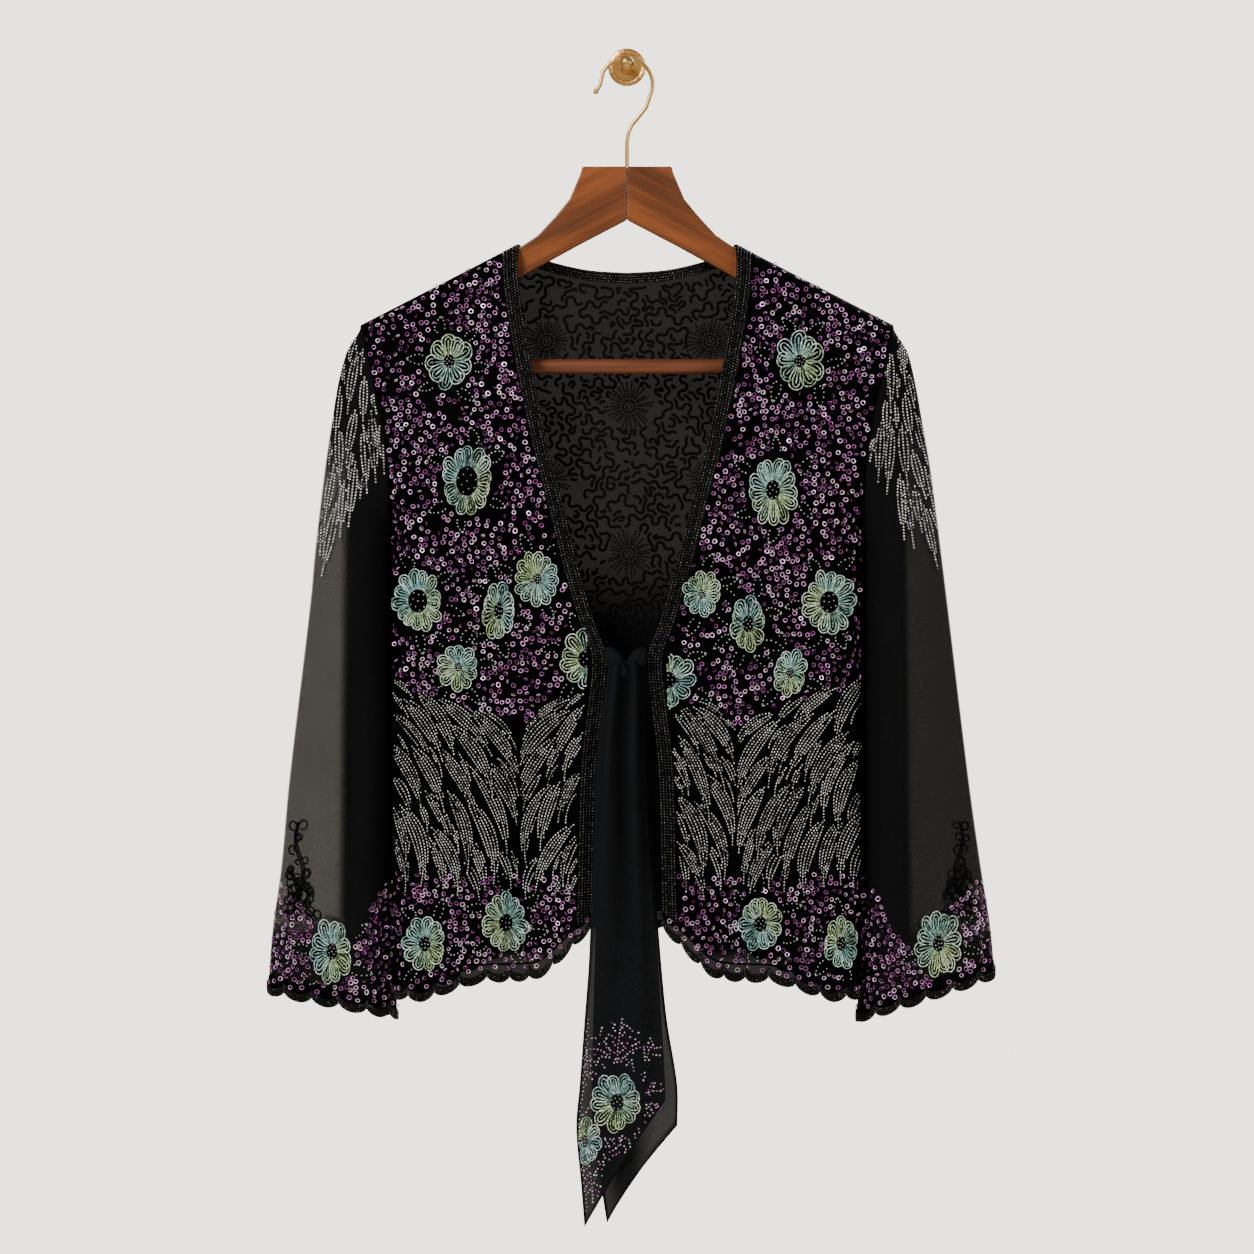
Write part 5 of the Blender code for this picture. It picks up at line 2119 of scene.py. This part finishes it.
    def twig(self, needle: Needle, sign: int, outer: Callable[[Value], Value]) -> None:
        """Sews a twig of black cord above the cuff, on the sheer part.

        Args:
            needle: what sews it.
            sign: the side, -1 or 1.
            outer: gives how far out the sleeve's outer line is at a height.
        """
        rng = needle.random
        base = 0.2565 if sign < 0 else 0.2600
        for stem, (lean, top) in enumerate(((0.0, -0.594), (0.008, -0.630), (-0.009, -0.638))):
            t = np.linspace(0, 1, 26)
            out = base + lean * (0.3 + 0.7 * t) + 0.0030 * np.sin(t * 9.0 + stem)
            z = blend(top, -0.672, t)
            out = np.minimum(out, outer(z) - 0.002)
            needle.corded(np.stack([sign * out, z], 1), 0.00080, 0.0008)
            for n in range(1, 25, 3):
                way = rng.choice([-1.0, 1.0])
                turn = np.linspace(0, 1.7 * math.pi, 10)
                size = rng.uniform(0.0016, 0.0034)
                lx = out[n] + way * size * (1 - np.cos(turn))
                lz = z[n] + size * np.sin(turn) * 1.2
                lx = np.minimum(lx, outer(lz) - 0.0015)
                needle.corded(np.stack([sign * lx, lz], 1), 0.00070, 0.0008)

    def edging(self) -> bpy.types.Object:
        """Builds the scalloped edging round the cuff."""
        surface = SleeveSurface(self.side)
        way = 1.0 if self.side is Side.LEFT else -1.0
        turns = way * 2 * np.pi * np.arange(120) / 120
        line = surface.round_at(turns, np.ones(120))
        centre = line.mean(0)
        run = np.roll(line, -1, 0) - np.roll(line, 1, 0)
        out = np.cross(run, [0, 0, 1.0])
        out *= np.sign(((line - centre) * out).sum(1, keepdims=True))
        return HangingEdge(f"cuff_edging_{self.word}", line, unit(out), True, self.finishes).make()

    def build(self) -> None:
        """Builds this sleeve."""
        LOG.info("sleeve %s", self.word)
        cloth = self.cloth()
        sewn = self.sew(Face.ROOM) + self.sew(Face.WALL)
        self.edging()


class Tie:
    """The knot and the two tails of sheer cloth, with the front tail's embroidery."""

    FRONT = TailSurface(
        edges=(
            (-0.4560, -0.0070, 0.0010),
            (-0.4640, -0.0120, 0.0080),
            (-0.4758, -0.0150, 0.0120),
            (-0.5420, -0.0235, 0.0140),
            (-0.6315, -0.0269, 0.0187),
            (-0.7016, -0.0296, 0.0238),
            (-0.7434, -0.0327, 0.0265),
            (-0.7990, -0.0369, 0.0296),
            (-0.8310, -0.0395, 0.0300),
            (-0.8750, -0.0358, 0.0300),
            (-0.9088, -0.0331, 0.0300),
        ),
        end_z=(-0.9088, -0.8098), y=-0.0850, shift=0.6,
    )
    REAR = TailSurface(
        edges=(
            (-0.4560, -0.0020, 0.0060),
            (-0.4640, -0.0080, 0.0120),
            (-0.4758, -0.0110, 0.0150),
            (-0.5420, -0.0170, 0.0165),
            (-0.6315, -0.0220, 0.0212),
            (-0.7016, -0.0250, 0.0265),
            (-0.7475, -0.0262, 0.0311),
            (-0.7990, -0.0270, 0.0392),
            (-0.8310, -0.0265, 0.0392),
            (-0.8750, -0.0205, 0.0380),
            (-0.9060, -0.0157, 0.0380),
        ),
        end_z=(-0.9060, -0.8300), y=-0.0785, shift=-0.9,
    )
    SPACING = 0.0028
    STEMS = (
        (-0.0078, -0.7830, 1.55, 13), (-0.0040, -0.7810, 1.15, 11), (-0.0125, -0.7790, 2.05, 8),
        (0.0125, -0.7810, 0.95, 6), (0.0125, -0.8050, 0.35, 6), (0.0125, -0.8120, -0.5, 5),
        (-0.0310, -0.7930, 1.5, 7), (-0.0230, -0.7850, 1.9, 5), (-0.0180, -0.8360, 4.6, 13),
        (-0.0035, -0.8350, 4.7, 7), (-0.0290, -0.8640, 4.9, 9),
    )
    LOBES = (
        ((0.0060, -0.0770, -0.4705), math.radians(34), 0.0150, 0.0068, 0.0062),
        ((-0.0085, -0.0800, -0.4705), math.radians(-34), 0.0155, 0.0070, 0.0058),
    )

    def __init__(self, finishes: Finishes):
        self.finishes = finishes

    def tail(self, name: str, node: str, surface: TailSurface) -> bpy.types.Object:
        """Builds one tail with its narrow dark hem."""
        columns, rows = 52, 110

        def place(across: Array, down: Array) -> Array:
            share = across / columns
            z = blend(surface.top_z, blend(*surface.end_z, share), down / rows)
            left, right = surface.span(z)
            return surface.at(blend(left, right, share), z)

        piece = grid_piece(name, columns, rows, place, self.finishes.tie, 0.0007, outward=0.0)

        def dense(x: Array, y: Array, z: Array) -> Array:
            left, right = surface.span(z)
            share = np.clip((x - left) / (right - left), 0, 1)
            rim = np.minimum(x - left, right - x)
            end = z - blend(*surface.end_z, share)
            hem = 1.0 - np.minimum(eased((rim - 0.0012) / 0.0018), eased((end - 0.0020) / 0.0030))
            gathered = eased((z + 0.740) / 0.120)
            fold = np.exp(-(((share - 0.36) / 0.20) ** 2))
            return np.clip(np.maximum(np.maximum(hem, gathered), 0.15 + 0.85 * fold), 0.0, 1.0)

        # Painted shade of the folds: darker down the middle and along the right edge, most on the upper tail.
        def painted_fold_shade(x: Array, y: Array, z: Array) -> Array:
            left, right = surface.span(z)
            share = (x - left) / (right - left)
            dips = np.exp(-(((share - 0.50) / 0.13) ** 2)) + np.exp(-(((share - 1.0) / 0.14) ** 2))
            return np.clip(dips * 0.95 * eased((z + 0.72) / 0.14), 0.0, 1.0)

        shaded(piece, dense)
        shaded(piece, painted_fold_shade, "painted_fold_shade")
        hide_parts(node)
        return piece

    def embroidery(self) -> list[bpy.types.Object]:
        """Sews the flowers, sprays and dots of the front tail."""
        needle = Needle("tie_front", self.FRONT, 4242)
        rng = needle.random

        def holds(x: Array, z: Array) -> Array:
            left, right = self.FRONT.span(z)
            share = (x - left) / (right - left)
            return (x > left + 0.0012) & (x < right - 0.0012) & (z > blend(*self.FRONT.end_z, share) + 0.003)

        on_cloth = Zone(holds)
        bloom = Bloom(-0.0078, -0.8113, 0.0405, 0.0480, 12, 0.26, 4.6)
        half = Bloom(-0.0330, -0.8417, 0.0260, 0.0360, 9, 0.25, 2.0)
        needle.flower(bloom, on_cloth)
        needle.flower(half, on_cloth)
        sprays = []
        for owner, count in ((bloom, 26), (half, 12)):
            for n in range(count):
                angle = 2 * math.pi * (n + rng.uniform(-0.4, 0.4)) / count
                start = rng.uniform(1.08, 1.22)
                sprays.append((owner.x + owner.width / 2 * start * math.cos(angle),
                               owner.z + owner.height / 2 * start * math.sin(angle),
                               angle + rng.uniform(-0.7, 0.7), int(rng.integers(2, 5))))
        for x, z, angle, count in self.STEMS:
            sprays.append((x, z, angle, count))
            for n in range(1, count, 2):
                for turn in (-0.85, 0.85):
                    reach = n * self.SPACING
                    side = angle + turn + rng.uniform(-0.3, 0.3)
                    sprays.append((x + reach * math.cos(angle), z + reach * math.sin(angle), side,
                                   int(rng.integers(1, 4))))
        for x, z, angle, count in sprays:
            bend = angle + rng.uniform(-0.20, 0.20) * np.arange(count)
            px = x + np.cumsum(np.cos(bend)) * self.SPACING
            pz = z + np.cumsum(np.sin(bend)) * self.SPACING
            ok = on_cloth(px, pz) & needle.taken.free(px, pz)
            px, pz, bend = px[ok], pz[ok], bend[ok]
            needle.taken.mark(px, pz, 0.0017)
            white = rng.uniform(size=len(px)) < 0.36
            for chosen, pile in ((~white, needle.sequins), (white, needle.dots)):
                # On the sequin beads the random tint and shade are painted highlight and shade.
                n = int(chosen.sum())
                needle.beads(pile, px[chosen], pz[chosen], bend[chosen], (0.00092, 0.00078, 0.0007),
                             rng.uniform(0.1, 0.8, n), rng.uniform(0.3, 1.0, n))
        z = np.arange(-0.896, -0.745, 0.0031)
        left, _ = self.FRONT.span(z)
        needle.small_dots(left + 0.0030 + 0.0008 * np.sin(z * 900), z, 0.00060)
        return needle.finished(self.finishes)

    def knot(self) -> bpy.types.Object:
        """Builds the knot: two gathered ends that cross in a V between the front edges."""
        lobes = []
        for middle, lean, long, wide, depth in self.LOBES:
            bpy.ops.object.select_all(action="DESELECT")
            bpy.ops.mesh.primitive_uv_sphere_add(segments=48, ring_count=30, radius=1.0)
            made = bpy.context.object
            x, y, z = points_of(made).astype(float).T
            round_at = np.arctan2(y, x)
            girth = np.sqrt(np.maximum(1.0 - np.abs(z) ** 3.0, 0.0))
            girth = girth / np.maximum(np.sqrt(x * x + y * y), 1e-6)
            pleat = 1.0 + 0.10 * np.cos(round_at * 7.0 + z * 1.2)
            pleat = pleat + 0.04 * np.cos(round_at * 15.0 - z * 2.0)
            a = x * girth * pleat * wide * np.interp(z, [-1.0, 0.2, 1.0], [0.80, 1.0, 0.92])
            b = y * girth * pleat * depth
            c = z * long
            points = np.stack([middle[0] + a * math.cos(lean) + c * math.sin(lean), middle[1] + b,
                               middle[2] + c * math.cos(lean) - a * math.sin(lean)], 1)
            set_points(made, points)
            bpy.ops.object.shade_smooth()
            lobes.append(made)
        lobes[0].select_set(True)
        bpy.ops.object.join()
        made = bpy.context.object
        made.name = "tie_knot_cloth"
        made.data.materials.append(self.finishes.tie)
        shaded(made, lambda a, b, c: np.ones(len(a)))
        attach(made, "root")
        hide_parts("tie_knot")
        return made

    def build(self) -> None:
        """Builds the tie."""
        LOG.info("tie")
        front = self.tail("tie_tail_front_chiffon", "tie_tail_front", self.FRONT)
        rear = self.tail("tie_tail_rear_chiffon", "tie_tail_rear", self.REAR)
        knot = self.knot()
        sewn = self.embroidery()


# The hanger, the wall hook and the studio


class Hanger:
    """The wooden arms, the bar and the wire hook."""

    def __init__(self, finishes: Finishes):
        self.finishes = finishes

    @staticmethod
    def dress(node: str, finish: bpy.types.Material, slot: str) -> None:
        """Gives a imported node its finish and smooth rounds."""
        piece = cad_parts[node]
        piece.data.materials.clear()
        piece.data.materials.append(finish)
        bpy.ops.object.select_all(action="DESELECT")
        piece.select_set(True)
        bpy.context.view_layer.objects.active = piece
        bpy.ops.object.shade_smooth_by_angle(angle=math.radians(38))

    def build(self) -> None:
        """Dresses the wood, and builds the wire with its ball end."""
        LOG.info("hanger")
        self.dress("hanger_arm_left", self.finishes.wood_left, "walnut")
        self.dress("hanger_arm_right", self.finishes.wood_right, "walnut")
        self.dress("hanger_bar", self.finishes.wood_bar, "walnut")
        self.joint()
        self.wire()

    def joint(self) -> bpy.types.Object:
        """Builds the dark line of glue between the arms."""
        top, notch = -0.0815, -0.1221
        bpy.ops.mesh.primitive_cube_add(size=1.0, location=(0.0, CUT.middle_y, (top + notch) / 2))
        made = bpy.context.object
        made.name = "hanger_glue"
        made.scale = (0.00028, 0.0080, top - notch)
        bpy.ops.object.transform_apply(location=True, rotation=True, scale=True)
        made.data.materials.append(self.finishes.cord)
        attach(made, "root")
        return made

    def wire(self) -> bpy.types.Object:
        """Builds the hook from a curve, with a small ball on its open end."""
        radius, centre_x = 0.0205, -0.0005
        centre_z = 0.0022 + 0.00045 + 0.0016 - radius
        tip = [(-0.0240, -0.0215), (-0.0212, -0.0172)]
        turns = np.radians(np.linspace(152.0, -22.0, 40))
        arc = [(centre_x + radius * math.cos(a), centre_z + radius * math.sin(a)) for a in turns]
        sway = [(0.0150, -0.0345), (0.0095, -0.0415), (0.0040, -0.0480), (0.0010, -0.0550)]
        stem = [(0.0, -0.0620), (0.0, -0.0810)]
        route = tip + arc + sway + stem
        curve = bpy.data.curves.new("hook_wire_round", "CURVE")
        curve.dimensions = "3D"
        curve.bevel_depth = 0.0016
        curve.bevel_resolution = 5
        curve.use_fill_caps = True
        spline = curve.splines.new("POLY")
        spline.points.add(len(route) - 1)
        for point, (x, z) in zip(spline.points, route):
            point.co = (x, CUT.middle_y, z, 1.0)
        made = bpy.data.objects.new("hook_wire_round", curve)
        bpy.context.scene.collection.objects.link(made)
        bpy.ops.object.select_all(action="DESELECT")
        made.select_set(True)
        bpy.context.view_layer.objects.active = made
        bpy.ops.object.convert(target="MESH")
        bpy.ops.mesh.primitive_uv_sphere_add(segments=20, ring_count=12, radius=0.0023,
                                             location=(-0.0243, CUT.middle_y, -0.0219))
        ball = bpy.context.object
        bpy.ops.object.transform_apply(location=True, rotation=True, scale=True)
        bpy.ops.object.select_all(action="DESELECT")
        ball.select_set(True)
        made.select_set(True)
        bpy.context.view_layer.objects.active = made
        bpy.ops.object.join()
        bpy.ops.object.shade_smooth()
        made.data.materials.clear()
        made.data.materials.append(self.finishes.brass)
        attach(made, "root")
        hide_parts("hook_wire")
        return made


class WallHook:
    """The rosette and the peg."""

    def __init__(self, finishes: Finishes):
        self.finishes = finishes

    def build(self) -> None:
        """Dresses both in brass."""
        LOG.info("wall hook")
        Hanger.dress("wall_rosette", self.finishes.brass, "brass")
        Hanger.dress("wall_peg", self.finishes.brass, "brass")


@dataclass(frozen=True)
class Studio:
    """A pale room with soft light from the upper left, and a level camera straight in front."""

    away: float = 6.0
    plane_y: float = -0.072
    width: float = 0.978
    middle: tuple[float, float] = (0.0, -0.4416)
    wall: tuple = ink(234, 227, 214)
    wall_strength: float = 3.8
    room_strength: float = 0.25

    def build(self) -> None:
        """Builds the floor, the lights, the surroundings and the camera."""
        LOG.info("studio")
        bpy.ops.mesh.primitive_circle_add(vertices=96, radius=1.6, fill_type="NGON",
                                          location=(0.0, -0.2, -1.25))
        floor = bpy.context.object
        floor.name = "floor"
        tree = ShaderTree("pale_floor")
        tree.put(Base_Color=self.wall, Roughness=0.9)
        floor.data.materials.append(tree.material)

        world = bpy.data.worlds.new("pale_room")
        bpy.context.scene.world = world
        world.use_nodes = True
        nodes, links = world.node_tree.nodes, world.node_tree.links
        seen = nodes["Background"]
        seen.inputs["Color"].default_value = self.wall
        seen.inputs["Strength"].default_value = self.wall_strength
        around = nodes.new("ShaderNodeBackground")
        around.inputs["Color"].default_value = self.wall
        around.inputs["Strength"].default_value = self.room_strength
        mixed = nodes.new("ShaderNodeMixShader")
        path = nodes.new("ShaderNodeLightPath")
        links.new(path.outputs["Is Camera Ray"], mixed.inputs[0])
        links.new(around.outputs["Background"], mixed.inputs[1])
        links.new(seen.outputs["Background"], mixed.inputs[2])
        links.new(mixed.outputs["Shader"], nodes["World Output"].inputs["Surface"])

        for name, spot, size, power in (
            ("key", (-1.7, -2.4, 1.5), 1.1, 140.0),
            ("fill", (1.9, -2.2, 0.1), 1.6, 30.0),
            ("rear", (1.2, 2.6, 1.0), 1.6, 70.0),
        ):
            lamp = bpy.data.lights.new(name, "AREA")
            lamp.size, lamp.energy = size, power
            held = bpy.data.objects.new(name, lamp)
            bpy.context.scene.collection.objects.link(held)
            held.location = spot
            toward = np.array((0.0, -0.06, -0.42)) - np.array(spot)
            turn = math.atan2(math.hypot(toward[0], toward[1]), -toward[2])
            held.rotation_euler = (turn, 0.0, math.atan2(toward[1], toward[0]) - math.pi / 2)

        view = bpy.data.cameras.new("straight_on")
        view.sensor_width = 36.0
        view.lens = 36.0 * self.away / self.width
        camera = bpy.data.objects.new("straight_on", view)
        bpy.context.scene.collection.objects.link(camera)
        camera.location = (self.middle[0], self.plane_y - self.away, self.middle[1])
        camera.rotation_euler = (math.pi / 2, 0.0, 0.0)
        bpy.context.scene.camera = camera


def main() -> None:
    """Builds every piece in order."""
    logging.basicConfig(level=logging.INFO, format="%(message)s")
    finishes = Finishes()
    FrontPanel(Side.LEFT, finishes).build()
    FrontPanel(Side.RIGHT, finishes).build()
    Back(finishes).build()
    Sleeve(Side.LEFT, finishes).build()
    Sleeve(Side.RIGHT, finishes).build()
    Tie(finishes).build()
    Hanger(finishes).build()
    WallHook(finishes).build()
    Studio().build()


if __name__ == "__main__":
    main()
